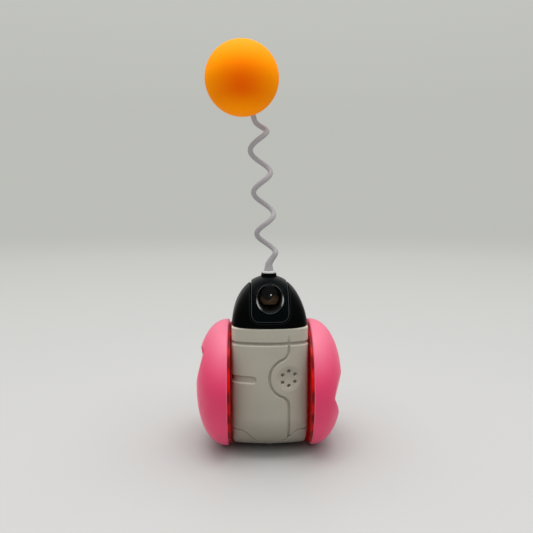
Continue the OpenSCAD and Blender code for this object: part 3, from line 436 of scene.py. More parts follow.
# Colour, roughness, unevenness, blotch and grain scale, grain depth in metres, gloss and metal
FINISHES = {name: moulded(name, *look) for name, *look in (
    ("grey_shell", (0.372, 0.349, 0.292), 0.55, 0.05, 40, 1900, 0.00003, 0.35),
    ("black_gloss", (0.0011, 0.0013, 0.0014), 0.3, 0.2, 80, 3000, 0.000004, 0.017),
    ("black_plate", (0.0007, 0.0017, 0.0021), 0.26, 0.2, 80, 3000, 0.000004, 0.03),
    ("black_ring", (0.01, 0.011, 0.012), 0.26, 0.3, 300, 3000, 0.000004, 0.2),
    ("white_plastic", (0.47, 0.465, 0.475), 0.4, 0.04, 90, 2600, 0.00001),
    ("clear_plastic", (0.7, 0.71, 0.74), 0.12, 0.04, 90, 2600, 0.000005),
    ("dark_plastic", (0.03, 0.03, 0.032), 0.5, 0.12, 90, 2200, 0.00002),
    ("board_green", (0.01, 0.1, 0.03), 0.35, 0.2, 160, 2400, 0.00002),
    ("screw_steel", (0.5, 0.5, 0.52), 0.35, 0.12, 400, 5000, 0.00001, 0.5, 1.0),
    ("axle_steel", (0.55, 0.56, 0.58), 0.28, 0.08, 300, 5000, 0.000008, 0.5, 1.0),
    ("ballast_iron", (0.06, 0.06, 0.065), 0.75, 0.3, 180, 1400, 0.00008),
    ("speaker_metal", (0.6, 0.6, 0.61), 0.32, 0.08, 250, 4000, 0.00001, 0.5, 1.0),
    ("contact_brass", (0.62, 0.45, 0.18), 0.32, 0.12, 300, 4000, 0.00001, 0.5, 1.0),
    ("pink_wheel", (0.72, 0.036, 0.128), 0.5, 0.03, 30, 2400, 0.000012, 0.4),
    ("wand_grey", (0.225, 0.212, 0.219), 0.62, 0.04, 70, 2600, 0.000003, 0.12),
    ("orange_ball", (0.94, 0.28, 0.0003), 0.6, 0.05, 45, 1500, 0.00003, 0.02),
)}


def smoked_lens():
    """Smoked window over a dark round sensor and a brown shelf, with a small painted glint."""
    g = material("smoked_lens")
    coords = g.coords()
    black, brown, tan = (0.002, 0.002, 0.002), (0.070, 0.042, 0.022), (0.11, 0.068, 0.036)
    rise = g.reach(g.axes(coords)["Z"], (EYE_Z - LENS_R) * MM, (EYE_Z + LENS_R) * MM)
    shelf = g.ramp(rise, [(0.0, black), (0.14, black), (0.17, tan), (0.42, brown), (0.62, black),
                          (1.0, black)])
    sensor = g.reach(g.distance(coords, (-1.3 * MM, LENS_Y * MM, (EYE_Z + 0.9) * MM)), 2.6 * MM, 3.0 * MM)
    color = g.mix(near_spot(g, 0.0, EYE_Z, 4.9, 5.3), black, g.mix(sensor, black, shelf))
    cloud = g.noise(coords, 900)
    color = g.mix(1.0, color, g.clouded(cloud, (0.7, 0.7, 0.7), (1.2, 1.2, 1.2)), blend_type="MULTIPLY")
    g.dress({"Base Color": color, "Roughness": g.spread(cloud, 0.10, 0.14), "Specular IOR Level": 0.12})
    # Painted highlight: a small white glint laid into the window's colour
    glint = g.distance(coords, (0.7 * MM, (LENS_Y - LENS_BULGE) * MM, (EYE_Z + 1.3) * MM))
    g.tone(g.within(glint, 0.3 * MM, 0.55 * MM), (0.8, 0.8, 0.78))
    return g


def red_disc():
    """Translucent red moulding with bright and dark stretches painted round its edge for light passing
    through its ribs and shade between them, a darker red face inside the edge, and a painted glow.
    """
    g = material("red_disc")
    place = g.axes()
    rise = g.maths("SUBTRACT", place["Z"], WHEEL_R * MM)
    turn = g.maths("ARCTAN2", place["Y"], rise)
    wave = g.node("TexNoise", {"W": turn, "Scale": 2.8, "Detail": 0.0}, noise_dimensions="1D")["Fac"]
    # Painted light and shade: bright stretches for light through the ribs, dark ones for shade between them
    ribs = g.ramp(wave, [(0.40, (0.13, 0.0, 0.001)), (0.47, (0.17, 0.0, 0.001)), (0.53, (0.36, 0.0, 0.001)),
                         (0.66, (0.46, 0.001, 0.001))])
    cloud = g.noise(g.coords(), 500)
    edge = g.band(length(g, place["Y"], rise), (FLANGE_R - 1.2) * MM, (FLANGE_R - 0.4) * MM, 0.85)
    face = g.clouded(cloud, (0.20, 0.0, 0.001), (0.25, 0.0, 0.001))
    g.dress({"Base Color": g.mix(g.total(edge, 0.15), face, ribs), "Roughness": g.spread(cloud, 0.25, 0.35),
             "Specular IOR Level": 0.12})
    # Painted glow, though the disc is no lamp
    g.painted_glow(0.3)
    return g


def paint_ball_shading(g):
    """Painted light and shade on the ball: its middle, seen front and back, painted deeper as shade, its
    lower part painted brighter for light from the floor, its top toned down against the light from above, and
    a painted glow.
    """
    up, middle = g.axes()["Z"], BALL_C[2]
    g.tone(near_spot(g, BALL_C[0], middle - 7.0, 0.0, 21.0), (0.87, 0.124, 0.0001))
    g.tone(g.band(g.maths("MULTIPLY", up, -1.0), (9 - middle) * MM, (19 - middle) * MM), (1.0, 0.285, 0.0002))
    g.tone(g.band(up, (middle + 4) * MM, (middle + 18) * MM), (0.62, 0.25, 0.006))
    g.painted_glow(0.15)


def paint_wheel_light(g):
    """Rubber with painted light: upper sides paler for the light from above, lower sides brighter for light
    from the floor, a painted highlight on the thin lip at its rim, and a soft sheen.
    """
    g.tone(facing(g, 1.0, 0.1, 0.9), (0.64, 0.13, 0.213))
    g.tone(facing(g, -1.0, -0.1, 0.65), (0.97, 0.07, 0.20))
    g.tone(g.within(from_middle(g), (RIM_X + 0.12) * MM, (RIM_X + 0.4) * MM), (0.76, 0.14, 0.24))
    g.dress({"Sheen Weight": 0.3, "Sheen Roughness": 0.3, "Sheen Tint": (1.0, 0.5, 0.62)})


def paint_ring_light(g):
    """Painted highlights on the eye's ring at its lower left and its right, where its lip is broadest, and
    painted shade on its inside.
    """
    for x, z, inner, outer, color in ((-6.9, -2.9, 0.6, 4.2, (0.28, 0.293, 0.3)),
                                      (7.2, -1.0, 0.5, 3.6, (0.28, 0.293, 0.3)),
                                      (0.0, 0.0, EYE_R - 1.1, EYE_R - 0.65, (0.002, 0.002, 0.002))):
        g.tone(near_spot(g, x, EYE_Z + z, inner, outer), color)


FINISHES["smoked_lens"] = smoked_lens()
FINISHES["red_disc"] = red_disc()
# Painted light and shade: a painted glow on the wand, and painted light and shade on the ball, the wheels and
# the eye's ring
FINISHES["wand_grey"].painted_glow(0.57)
paint_ball_shading(FINISHES["orange_ball"])
paint_wheel_light(FINISHES["pink_wheel"])
paint_ring_light(FINISHES["black_ring"])
# Painted highlights along the face plate's edge and along the outer edge of its recess in the head
for finish, grow, highlight_tint in (("black_gloss", PLATE_GAP + 0.15, (0.008, 0.009, 0.01)),
                           ("black_plate", -0.2, (0.05, 0.054, 0.057))):
    FINISHES[finish].tone(plate_highlight_line(FINISHES[finish], grow), highlight_tint)
# Painted light on the flanks beside the wheels: lighter and warmer, for the red and pink light that they face
FLANK = FINISHES["grey_shell"]
FLANK.tone(FLANK.band(from_middle(FLANK), 17.0 * MM, HALF_W * MM), (0.50, 0.405, 0.35))

# Every frame node takes its slot's material, also the hidden ones inside
for part in frame["record"]["subparts"]:
    node = frame["nodes"][part["node"]]
    node.data.materials.clear()
    node.data.materials.append(FINISHES[part["material_slot"]].owner)

# Body shells and bottom cover


def belly_drop(inset):
    return (BELLY_Z - FLOOR_GAP - inset) / math.cos(FIRST_DIP)


def body_depth(z, inset):
    up = BELLY_HD - (BELLY_HD - SEAM_HD) * ((z - BELLY_Z) / (SEAM_Z - BELLY_Z)) ** 2 - inset
    low = (BELLY_HD - inset) * np.sqrt(np.maximum(0, 1 - ((BELLY_Z - z) / belly_drop(inset)) ** 2))
    return np.where(z >= BELLY_Z, up, low)


def body_points(u, w, z, inset):
    """Points of the body where u and w run round a unit squarish ring."""
    share = np.clip((BELLY_Z - z) / belly_drop(inset), 0, 1)
    x = (HALF_W - inset - TUCK * share ** 4) * u
    return points(x, body_depth(z, inset) * w * (1 - CROWN * u * u), z)


def squarish(u):
    """Partner of a coordinate on the unit squarish ring."""
    return (1 - np.abs(u) ** BODY_SQUARE) ** (1 / BODY_SQUARE)


def depth_at(x, z):
    """Half-depth of the body at a place seen from behind."""
    x, z = np.asarray(x), np.asarray(z)
    u = np.minimum(1, np.abs(x) / HALF_W)
    return body_depth(z, 0.0) * squarish(u) * (1 - CROWN * u * u)


CORNER = 0.5 ** (1 / BODY_SQUARE)
FACE = CORNER * HALF_W


def half_columns(face_x, side_count):
    """u and w from the left side, across the face and back along the right side."""
    t = np.linspace(0, 1, side_count + 1)[:-1]
    w_side = CORNER * (1 - (1 - t) ** 2)
    u_side, u_face = squarish(w_side), face_x / HALF_W
    u = np.concatenate([-u_side, u_face, u_side[::-1]])
    w = np.concatenate([w_side, squarish(u_face), w_side[::-1]])
    return u, w


def cover_edge(x):
    return COVER_MID + (COVER_SIDE - COVER_MID) * smooth(COVER_IN, COVER_OUT, np.abs(x))


def shell_heights(rows, u):
    """Heights of a shell's points: level above the belly, following the cover's seam below it."""
    low = cover_edge(HALF_W * u) + GAP
    rows = rows[:, None]
    t = np.clip((rows - rows[0]) / (BELLY_Z - rows[0]), 0, 1)
    return np.where(rows < BELLY_Z, low + (BELLY_Z - low) * t, rows), low


def arc(x, z, r, first, last, count=24):
    a = np.radians(np.linspace(first, last, count))
    return np.stack([x + r * np.cos(a), z + r * np.sin(a)], -1)


def panel_route():
    """The panel line's course from the belt down, bowed round the grille."""
    rise = math.sqrt(BOW_R ** 2 + 2 * BOW_R * BOW_FILLET)
    turn = math.degrees(math.acos(BOW_FILLET / (BOW_R + BOW_FILLET)))
    x, z = SPEAKER_X, SPEAKER_Z
    return np.concatenate([
        [[x, BELT_Z + 3.0]],
        arc(x - BOW_FILLET, z + rise, BOW_FILLET, 0, -turn),
        arc(x, z, BOW_R, 180 - turn, 180 + turn, 60),
        arc(x - BOW_FILLET, z - rise, BOW_FILLET, turn, 0),
        [[x, 0.0]]])


def route_distance(x, z, route):
    best = np.full(x.shape, 1e9)
    for (x0, z0), (x1, z1) in zip(route[:-1], route[1:]):
        dx, dz = x1 - x0, z1 - z0
        t = np.clip(((x - x0) * dx + (z - z0) * dz) / (dx * dx + dz * dz), 0, 1)
        best = np.minimum(best, np.hypot(x - x0 - t * dx, z - z0 - t * dz))
    return best


def belt_depth(z, low):
    """Depth of the belt groove and of the rolled edges above and below."""
    t = z - BELT_Z
    belt = GROOVE_D * np.where(t > 0, fade(0.15, 0.8, t), fade(0.2, 1.7, -t))
    return np.maximum(belt, rolled(SEAM_Z - z, EDGE_ROLL) + rolled(z - low, EDGE_ROLL))


def front_depth(x, z, low):
    """How far the front's grooves, recess, dish and holes lie under its surface."""
    panel = GROOVE_D * fade(0.2, 0.9, route_distance(x, z, panel_route()))
    panel = panel * (1 - 0.75 * smooth(BELT_Z - 0.6, BELT_Z + 2.5, z))
    end = RECESS_END - RECESS_H / 2
    from_end = np.where(x > end, np.hypot(x - end, z - RECESS_Z), np.abs(z - RECESS_Z))
    recess = RECESS_D * fade(-0.55, 0.3, from_end - RECESS_H / 2)
    r = np.hypot(x - SPEAKER_X, z - SPEAKER_Z)
    depth = DISH_D * np.clip(1 - (r / DISH_R) ** 2, 0, 1) ** 1.5
    for a in full_turn(HOLES):
        d = np.hypot(x - SPEAKER_X - HOLE_RING * math.sin(a), z - SPEAKER_Z - HOLE_RING * math.cos(a))
        depth = depth + HOLE_D * fade(HOLE_R - 0.2, HOLE_R + 0.12, d)
    return np.maximum(np.maximum(panel, recess), belt_depth(z, low)) + depth


def rear_depth(x, z, low):
    """How far the back's belt, door pocket, screw holes and switch window lie under its surface."""
    out_x = np.abs(x) - DOOR_HALF - GAP
    out_z = np.maximum(DOOR_LOW - GAP - z, z - DOOR_TOP - GAP)
    pocket = POCKET_D * fade(-0.2, 0.12, np.maximum(out_x, out_z))
    slot = np.maximum(np.abs(x) - SLOT_HALF_W, np.abs(z - SWITCH_Z) - SLOT_HALF_H)
    depth = np.maximum(belt_depth(z, low), np.maximum(pocket, WINDOW_D * fade(-0.15, 0.15, slot)))
    for bx, bz in BOSSES:
        depth = np.maximum(depth, BOSS_HOLE_D * fade(2.15, 2.5, np.hypot(x - bx, z - bz)))
    return depth


def shell(name, node, side, face_x, rows, depth_of):
    """One half of the casing, with a fine outside and a plain inside."""
    u, w = half_columns(face_x, 26)
    z, low = shell_heights(rows, u)
    outside = body_points(u, side * w, z, 0.0)
    n = normals(outside)
    outward = np.sign((n[..., 1] * side).sum())
    outside = outside - n * outward * depth_of(outside[..., 0], z, low)[..., None]
    u, w = half_columns(np.linspace(face_x[0], face_x[-1], 14), 5)
    z, _ = shell_heights(np.linspace(rows[0], rows[-1], 12), u)
    inside = body_points(u, side * w, z, WALL)
    for grid in (outside, inside):
        grid[:, 0, 1] = grid[:, -1, 1] = 0.0
    slab(outside, inside).piece(name, "body", "grey_shell", [node], 55)


shell("front_casing", "front_shell", -1,
      samples((-FACE, -1.8, 0.28), (-1.8, 17.4, 0.17), (17.4, FACE, 0.25)),
      samples((SHELL_LOW, 8.5, 0.2), (8.5, 28, 0.6), (28, 38, 0.22), (38, 53.5, 0.16), (53.5, 62.5, 0.24),
              (62.5, 67, 0.16), (67, 71, 0.45), (71, SEAM_Z, 0.12)), front_depth)
shell("rear_casing", "rear_shell", 1, samples((-FACE, FACE, 0.3)),
      samples((SHELL_LOW, 8.5, 0.25), (8.5, 23, 0.8), (23, 63, 0.3), (63, 71, 0.2), (71, SEAM_Z, 0.14)),
      rear_depth)


def bottom_cover():
    """Cover under the belly with its seam lip, flat foot and two screw holes."""
    u, w = half_columns(samples((-FACE, -3, 0.7), (-3, 3, 0.25), (3, FACE, 0.7)), 12)
    u, w = np.concatenate([u, u[::-1][1:-1]]), np.concatenate([-w, w[::-1][1:-1]])
    top = cover_edge(HALF_W * u)
    drop = belly_drop(0.0)
    dip_top = np.arccos(np.clip((BELLY_Z - top) / drop, -1, 1))
    t = np.concatenate([np.linspace(0, 0.1, 6)[:-1], np.linspace(0.1, 0.75, 16)[:-1],
                        np.linspace(0.75, 1, 26)])
    z = BELLY_Z - drop * np.cos(dip_top + (FIRST_DIP - dip_top) * t[:, None])
    grid = body_points(u, w, z, 0.0)
    n = normals(grid, True)
    outward = np.sign((n[..., 1] * np.sign(w)).sum())
    grid = grid - n * outward * rolled(top - z, 0.4)[..., None]
    shrink = np.array([0.97, 0.94, 0.9, 0.86, 0.8, 0.6, 0.4, 0.2, 0.06])[:, None]
    foot = points(grid[-1, :, 0] * shrink, grid[-1, :, 1] * shrink, FLOOR_GAP)
    outside = np.concatenate([grid, foot])
    for hole_y in (-COVER_HOLE_Y, COVER_HOLE_Y):
        d = np.hypot(outside[..., 0], outside[..., 1] - hole_y)
        lift = (COVER_HOLE_TOP - outside[..., 2]) * fade(COVER_HOLE_R, COVER_HOLE_R + 0.4, d)
        outside[..., 2] += np.maximum(lift, 0)
    inside = body_points(u, w, np.maximum(z[::6], FLOOR_GAP + WALL), WALL)
    bowl(outside, inside).piece("belly_cover", "body", "grey_shell", ["bottom_cover"], 55)


def battery_door():
    """Door on the back with rolled edges and a hole for its screw."""
    edge = np.array([0, 0.05, 0.15, 0.3, 0.5])

    def lines(low, high):
        return np.concatenate([low + edge, samples((low + 0.8, high - 0.8, 0.3)), high - edge[::-1]])

    x, z = np.meshgrid(lines(-DOOR_HALF, DOOR_HALF), lines(DOOR_LOW, DOOR_TOP))
    reach = np.minimum(DOOR_HALF - np.abs(x), np.minimum(z - DOOR_LOW, DOOR_TOP - z))
    hole = DOOR_HOLE_D * fade(DOOR_HOLE_R, DOOR_HOLE_R + 0.25, np.hypot(x, z - DOOR_SCREW_Z))
    front = points(x, depth_at(x, z) - rolled(reach, 0.4) - hole, z)
    back = points(x, depth_at(x, z) - DOOR_T, z)[::4, ::4]
    back[-1, :, 2] = DOOR_TOP
    back[:, -1, 0] = DOOR_HALF
    slab(front, back).piece("door", "body", "grey_shell", ["battery_door"], 50)


bottom_cover()
battery_door()


def screw_head(shape, x, z, seat_y):
    """Domed head with a cross recess, facing the back, on a plain shank."""
    radii = np.concatenate([np.linspace(0.02, 1.5, 26), np.linspace(1.6, SCREW_HEAD_R, 8)])
    turns = full_turn(96)
    r, a = np.meshgrid(radii, turns, indexing="ij")
    lx, lz = r * np.cos(a), r * np.sin(a)
    crown = SCREW_HEAD_H - 0.25 * (r / SCREW_HEAD_R) ** 2 - rolled(SCREW_HEAD_R - r, 0.35)
    cross = CROSS_D * fade(0.2, 0.34, np.minimum(np.abs(lx), np.abs(lz))) * fade(1.0, 1.35, r)
    top = points(x + lx, seat_y + crown - cross, z + lz)
    under = points(top[-1, :, 0], seat_y, top[-1, :, 2])
    shank = [points(x + SCREW_R * np.cos(turns[::8]), y, z + SCREW_R * np.sin(turns[::8]))
             for y in (seat_y, seat_y - SCREW_L)]
    outer = shape.grid(np.concatenate([top, under[None]]), True)
    shape.face(outer[0])
    inner = shape.grid(np.stack(shank), True)
    shape.ring_strip(outer[-1], inner[0])
    shape.face(inner[-1])


casing_screws = Shape()
for boss_x, boss_z in BOSSES:
    boss_top = float(depth_at(BOSS_X + 2.2, boss_z))
    screw_head(casing_screws, boss_x, boss_z, boss_top - SCREW_HEAD_H - SCREW_SUNK)
casing_screws.piece("casing_screws", "body", "screw_steel", ["shell_screws"], 35)
door_fixing = Shape()
screw_head(door_fixing, 0.0, DOOR_SCREW_Z, float(depth_at(DOOR_HOLE_R, DOOR_SCREW_Z)) - DOOR_T / 2)
door_fixing.piece("door_fixing", "body", "screw_steel", ["door_screw"], 35)


def switch_knob():
    """Slide knob with grip ribs across its face."""
    low, high = (np.array(c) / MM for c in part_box("switch_knob"))
    x, z = np.meshgrid(np.linspace(low[0], high[0], 49), np.linspace(low[2], high[2], 37))
    reach = np.minimum(np.minimum(x - low[0], high[0] - x), np.minimum(z - low[2], high[2] - z))
    from_mid = x - (low[0] + high[0]) / 2
    ribs = RIB_H * (1 + np.cos(from_mid * 2 * math.pi / RIB_PITCH)) * smooth(0.3, 0.6, reach)
    face = points(x, high[1] - 2 * RIB_H - rolled(reach, 0.3) + ribs, z)
    back = points(x, low[1], z)[::6, ::6]
    slab(face, back).piece("slide_knob", "knob", "dark_plastic", ["switch_knob"], 35)


switch_knob()

# Head, face plate, eye and collar


def head_form(dip, inset):
    """Half-width, half-depth, squareness and crown of the head's ring at an angle above its widest level."""
    first = np.arcsin(HEAD_DROP / (CROWN_Z - inset - HEAD_C))
    t = np.clip((dip - first) / (HEAD_LAST - first), 0, 1)
    a = (HEAD_HALF - inset) * np.cos(dip)
    b = (SEAM_HD - inset) * np.maximum(1 - np.sin(dip) ** HEAD_SQUARE, 1e-9) ** (1 / HEAD_SQUARE)
    return a, b, 2.3 + 3.7 * (1 - t) ** 1.5, CROWN * (1 - t)


def head_height(dip, inset):
    return HEAD_C + (CROWN_Z - inset - HEAD_C) * np.sin(dip)


def head_points(turn, dip, inset=0.0):
    a, b, square, crown = head_form(dip, inset)
    c, s = np.cos(turn), np.sin(turn)
    r = (np.abs(c) ** square + np.abs(s) ** square) ** (-1 / square)
    u = r * c
    return points(a * u, b * r * s * (1 - crown * u * u), head_height(dip, inset))


def head_depth(x, z, inset):
    """Half-depth of the head at a place seen from the front."""
    rise = CROWN_Z - inset - HEAD_C
    dip = np.minimum(np.arcsin(np.clip((z - HEAD_C) / rise, 0, 1)), HEAD_LAST)
    a, b, square, crown = head_form(dip, inset)
    u = np.minimum(np.abs(x) / a, 1)
    return b * np.maximum(1 - u ** square, 0) ** (1 / square) * (1 - crown * u * u)


def plate_edge(x, z, grow):
    """Signed distance to the face plate's outline seen from the front, negative inside."""
    hw, low, r = PLATE_HALF + grow, PLATE_LOW - grow, PLATE_CORNER + grow
    qx, qz = np.abs(x) - (hw - r), (low + r) - z
    round_corner = np.where(qx > 0, np.hypot(np.maximum(qx, 0), qz) - r, qz - r)
    return np.where(qz > 0, np.maximum(round_corner, np.abs(x) - hw), np.abs(x) - hw)


def head_shell():
    """Black dome with the recess that the face plate lies in."""
    turns = np.radians(np.concatenate([np.arange(-180, 0, 0.5), np.arange(0, 180, 0.8)]))
    first = math.asin(HEAD_DROP / (CROWN_Z - HEAD_C))
    dips = first + np.concatenate([[0, 0.002, 0.006, 0.012], np.linspace(0.02, HEAD_LAST - first, 130)])
    grid = head_points(turns, dips[:, None])
    n = normals(grid, True)
    outward = np.sign((n * (grid - np.array([0, 0, HEAD_C]))).sum())
    edge = plate_edge(grid[..., 0], grid[..., 2], PLATE_GAP)
    pocket = POCKET_ROLL + (PLATE_T - POCKET_ROLL) * smooth(0, 0.3, -edge)
    depth = np.where(edge < 0, pocket, rolled(edge, POCKET_ROLL)) + rolled(grid[..., 2] - SEAM_Z, HEAD_ROLL)
    grid = grid - n * outward * depth[..., None]
    hole = np.hypot(grid[..., 0], grid[..., 2] - EYE_Z) - (EYE_R + 0.5)
    grid[..., 1] += fade(-0.25, 0, hole) * np.maximum(-grid[..., 1] - EYE_FLOOR + 0.2, 0)
    cap = np.stack([grid[-1] * np.array([s, s, 1]) for s in (0.8, 0.5, 0.2)])
    first = math.asin(HEAD_DROP / (CROWN_Z - HEAD_WALL - HEAD_C))
    inside = head_points(full_turn(60) - math.pi, np.linspace(first, HEAD_LAST, 9)[:, None], HEAD_WALL)
    behind = np.hypot(inside[..., 0], inside[..., 2] - EYE_Z) < EYE_R + 1.5
    inside[..., 1] = np.where(behind, np.maximum(inside[..., 1], 0.6 - EYE_FLOOR), inside[..., 1])
    bowl(np.concatenate([grid, cap]), inside).piece("head_dome", "body", "black_gloss", ["head_shell"], 60)


def face_plate():
    """Centre strip over the head, from its front edge over the crown to the back, with the eye's hole."""
    edge = np.array([0, 0.02, 0.08, 0.18, 0.32, 0.5])
    x = np.concatenate([-PLATE_HALF + edge, samples((-PLATE_HALF + 0.75, PLATE_HALF - 0.75, 0.22)),
                        PLATE_HALF - edge[::-1]])
    beyond = np.maximum(np.abs(x) - (PLATE_HALF - PLATE_CORNER), 0)
    low = PLATE_LOW + PLATE_CORNER - np.sqrt(np.maximum(PLATE_CORNER ** 2 - beyond ** 2, 0))
    side_dip = np.minimum(np.arccos(np.abs(x) / (HEAD_HALF + PLATE_PROUD)), HEAD_LAST)
    top = head_height(side_dip, -PLATE_PROUD)
    v = np.concatenate([edge / 22, np.linspace(0.04, 1, 96)])
    z = low + (top - low) * np.sin(v * math.pi / 2)[:, None]
    base = points(x, head_depth(x, z, -PLATE_PROUD), z)
    n = normals(base)
    n = n * np.sign(n[..., 1].sum())
    hole = np.hypot(x, z - EYE_Z) - (EYE_R + 0.3)
    roll = rolled(-plate_edge(x, z, 0.0), PLATE_ROLL)
    floor = base - n * (PLATE_T + PLATE_PROUD - 0.05)
    shape = Shape()
    tops = []
    for side in (-1, 1):
        drop = roll + np.where(hole < 0, 0, rolled(hole, 0.3)) if side < 0 else roll
        grid, under = base - n * drop[..., None], floor.copy()
        if side < 0:
            grid[..., 1] -= fade(-0.25, 0.0, hole) * np.maximum(grid[..., 1] - EYE_FLOOR, 0)
            under[..., 1] = np.where(hole < 0, np.minimum(under[..., 1], EYE_FLOOR - 0.2), under[..., 1])
        grid[..., 1] *= side
        under[..., 1] *= side
        outer, inner = shape.grid(grid), shape.grid(under[::8, ::6])
        for line in (np.s_[0, :], np.s_[:, 0], np.s_[:, -1]):
            shape.strip(outer[line], inner[line])
        tops.append(outer[-1])
    shape.quads(np.stack(tops))
    shape.piece("face_strip", "body", "black_gloss", ["face_plate"], 60, "black_plate")


def eye_bezel():
    """Recessed ring of the eye, whose beaded lip follows the slope of the face."""
    turns = full_turn(192)

    def level(r, y):
        return points(r * np.cos(turns), y, EYE_Z + r * np.sin(turns))

    def sloped(r, lift):
        x, z = r * np.cos(turns), EYE_Z + r * np.sin(turns)
        return points(x, np.minimum(-head_depth(x, z, -PLATE_PROUD) - lift, LENS_Y - LENS_PROUD), z)

    def bump(middle, width):
        off = np.degrees(turns) - middle
        return np.exp(-(((off + 180) % 360 - 180) / width) ** 2)

    broad = 1 + 0.9 * np.maximum(bump(203, 32), bump(352, 26))
    bead = ((0, -0.5), (0, -0.15), (0.03, 0.06), (0.1, 0.2), (0.2, 0.26), (0.3, 0.22), (0.39, 0.08),
            (0.44, -0.15))
    rings = [level(LENS_R - LENS_LEDGE, LENS_Y + 3), level(EYE_R, LENS_Y + 3), level(EYE_R, LENS_Y + LENS_T)]
    rings += [sloped(EYE_R - a * broad, lift) for a, lift in bead]
    lip, mouth = rings[-1], level(LENS_R, LENS_Y - LENS_PROUD)
    rings += [lip + (mouth - lip) * t for t in np.linspace(0.1, 1, 10)]
    rings += [level(LENS_R, LENS_Y + LENS_T), level(LENS_R - LENS_LEDGE, LENS_Y + LENS_T)]
    looped(rings).piece("eye_ring", "body", "black_gloss", ["eye_bezel"], 50, "black_ring")


def eye_lens():
    """Window with a slight bulge."""
    bulge_r = (LENS_R ** 2 + LENS_BULGE ** 2) / (2 * LENS_BULGE)
    radii = np.concatenate([np.linspace(0.02, LENS_R - 0.5, 24), np.linspace(LENS_R - 0.4, LENS_R - 0.05, 6)])
    turns = full_turn(96)
    rings = [points(r * np.cos(turns), LENS_Y - LENS_BULGE + bulge_r - math.sqrt(bulge_r ** 2 - r ** 2),
                    EYE_Z + r * np.sin(turns)) for r in radii]
    back = rings[-1].copy()
    back[:, 1] = LENS_Y + LENS_T - 0.05
    capped(rings + [back]).piece("eye_window", "body", "smoked_lens", ["eye_lens"])


head_shell()
face_plate()
eye_bezel()
eye_lens()


def turned(profile, turns):
    """Rings of points about Z from (radius, height) pairs."""
    return [points(r * np.cos(turns), r * np.sin(turns), z) for r, z in profile]


def bevel(r0, z0, r1, z1):
    """Quarter round from one point of a profile to the next, bulging outwards."""
    return [(r0 + (r1 - r0) * (1 - math.cos(t)), z0 + (z1 - z0) * math.sin(t))
            for t in np.linspace(0, math.pi / 2, 5)]


collar = [(STEM_R, COLLAR_SEAT - 9), (STEM_R, COLLAR_SEAT), (COLLAR_FOOT_R - 0.15, COLLAR_SEAT),
          (COLLAR_FOOT_R, COLLAR_SEAT + 0.15), (COLLAR_FOOT_R, COLLAR_SEAT + 0.6), (4.5, COLLAR_SEAT + 1.4),
          (COLLAR_R + 0.02, COLLAR_TOP - 0.4), *bevel(COLLAR_R, COLLAR_TOP - 0.3, COLLAR_R - 0.3, COLLAR_TOP),
          (PLUG_BORE_R, COLLAR_TOP), (PLUG_BORE_R, COLLAR_TOP - 7.4)]
plug = [(PLUG_STEM_R, COLLAR_TOP - 7), (PLUG_STEM_R, COLLAR_TOP), (PLUG_R - 0.2, COLLAR_TOP),
        (PLUG_R, COLLAR_TOP + 0.2), (PLUG_R, PLUG_TOP - 0.9),
        *bevel(PLUG_R, PLUG_TOP - 0.9, PLUG_R - 0.5, PLUG_TOP - 0.45), (2.9, PLUG_TOP - 0.1), (2.2, PLUG_TOP)]
capped(turned(collar, full_turn(128))).piece("wand_collar", "body", "black_gloss", ["wand_socket"], 35)
capped(turned(plug, full_turn(128))).piece("wand_flange", "body", "white_plastic", ["wand_plug"], 35)

# Wheels


def wheel_points(x, r, turns):
    return points(x, r * np.cos(turns), WHEEL_R + r * np.sin(turns))


def swung(a, b, turn):
    """Two coordinates in a frame that is turned by an angle."""
    c, s = math.cos(turn), math.sin(turn)
    return a * c + b * s, b * c - a * s


def scoop_height(y, z, turn):
    """Distance from the rim's plane of the scoop's tilted dish over a place on the wheel."""
    y, z = swung(y, z, turn)
    y, z = swung(y - SCOOP_OFF, z, SCOOP_LEAN)
    x = np.zeros_like(y)
    for _ in range(60):
        lx, ly = swung(x, y, SCOOP_TILT)
        r = np.hypot(ly, z)
        dish = np.where(r < SCOOP_R, SCOOP_SLOPE * (SCOOP_R - r), SCOOP_WALL * (r - SCOOP_R))
        x = x - 0.35 * (lx - dish)
    return DOME_DEPTH - SCOOP_DROP + x


def wheel_dome(side, sign):
    """Domed wheel with its scoop, hollow behind and open at the rim."""
    turns = full_turn(360)

    def dome(steps, wall, crown_wall):
        power = 2 / DOME_SQUARE
        radii = (WHEEL_R - wall) * np.cos(steps) ** power
        return radii[:, None], ((DOME_DEPTH - crown_wall) * np.sin(steps) ** power)[:, None]

    steps = np.radians(np.concatenate([np.linspace(0, 20, 24)[:-1], np.linspace(20, 89.4, 110)]))
    r, height = dome(steps, 0, 0)
    cut = scoop_height(r * np.cos(turns), r * np.sin(turns), SCOOP_TURN[side])
    both = -SCOOP_SOFT * np.logaddexp(-height / SCOOP_SOFT, -cut / SCOOP_SOFT)
    height = np.where(cut - height > 3, height, both)
    outside = wheel_points(sign * (RIM_X + height), r, turns)[steps >= math.radians(0.9)]
    lip = [wheel_points(sign * (RIM_X + h), WHEEL_R - drop, turns)
           for drop, h in ((0.5, 0.0), (0.25, 0.04), (0.08, 0.18))]
    r, height = dome(np.radians(np.linspace(0, 88, 16)), DOME_WALL, CROWN_WALL)
    inside = wheel_points(sign * (RIM_X + height), r, turns[::4])
    bowl(np.concatenate([lip, outside]), inside).piece(
        f"{side}_dome", f"{side}_wheel", "pink_wheel", [f"{side}_wheel_dome"], 60)


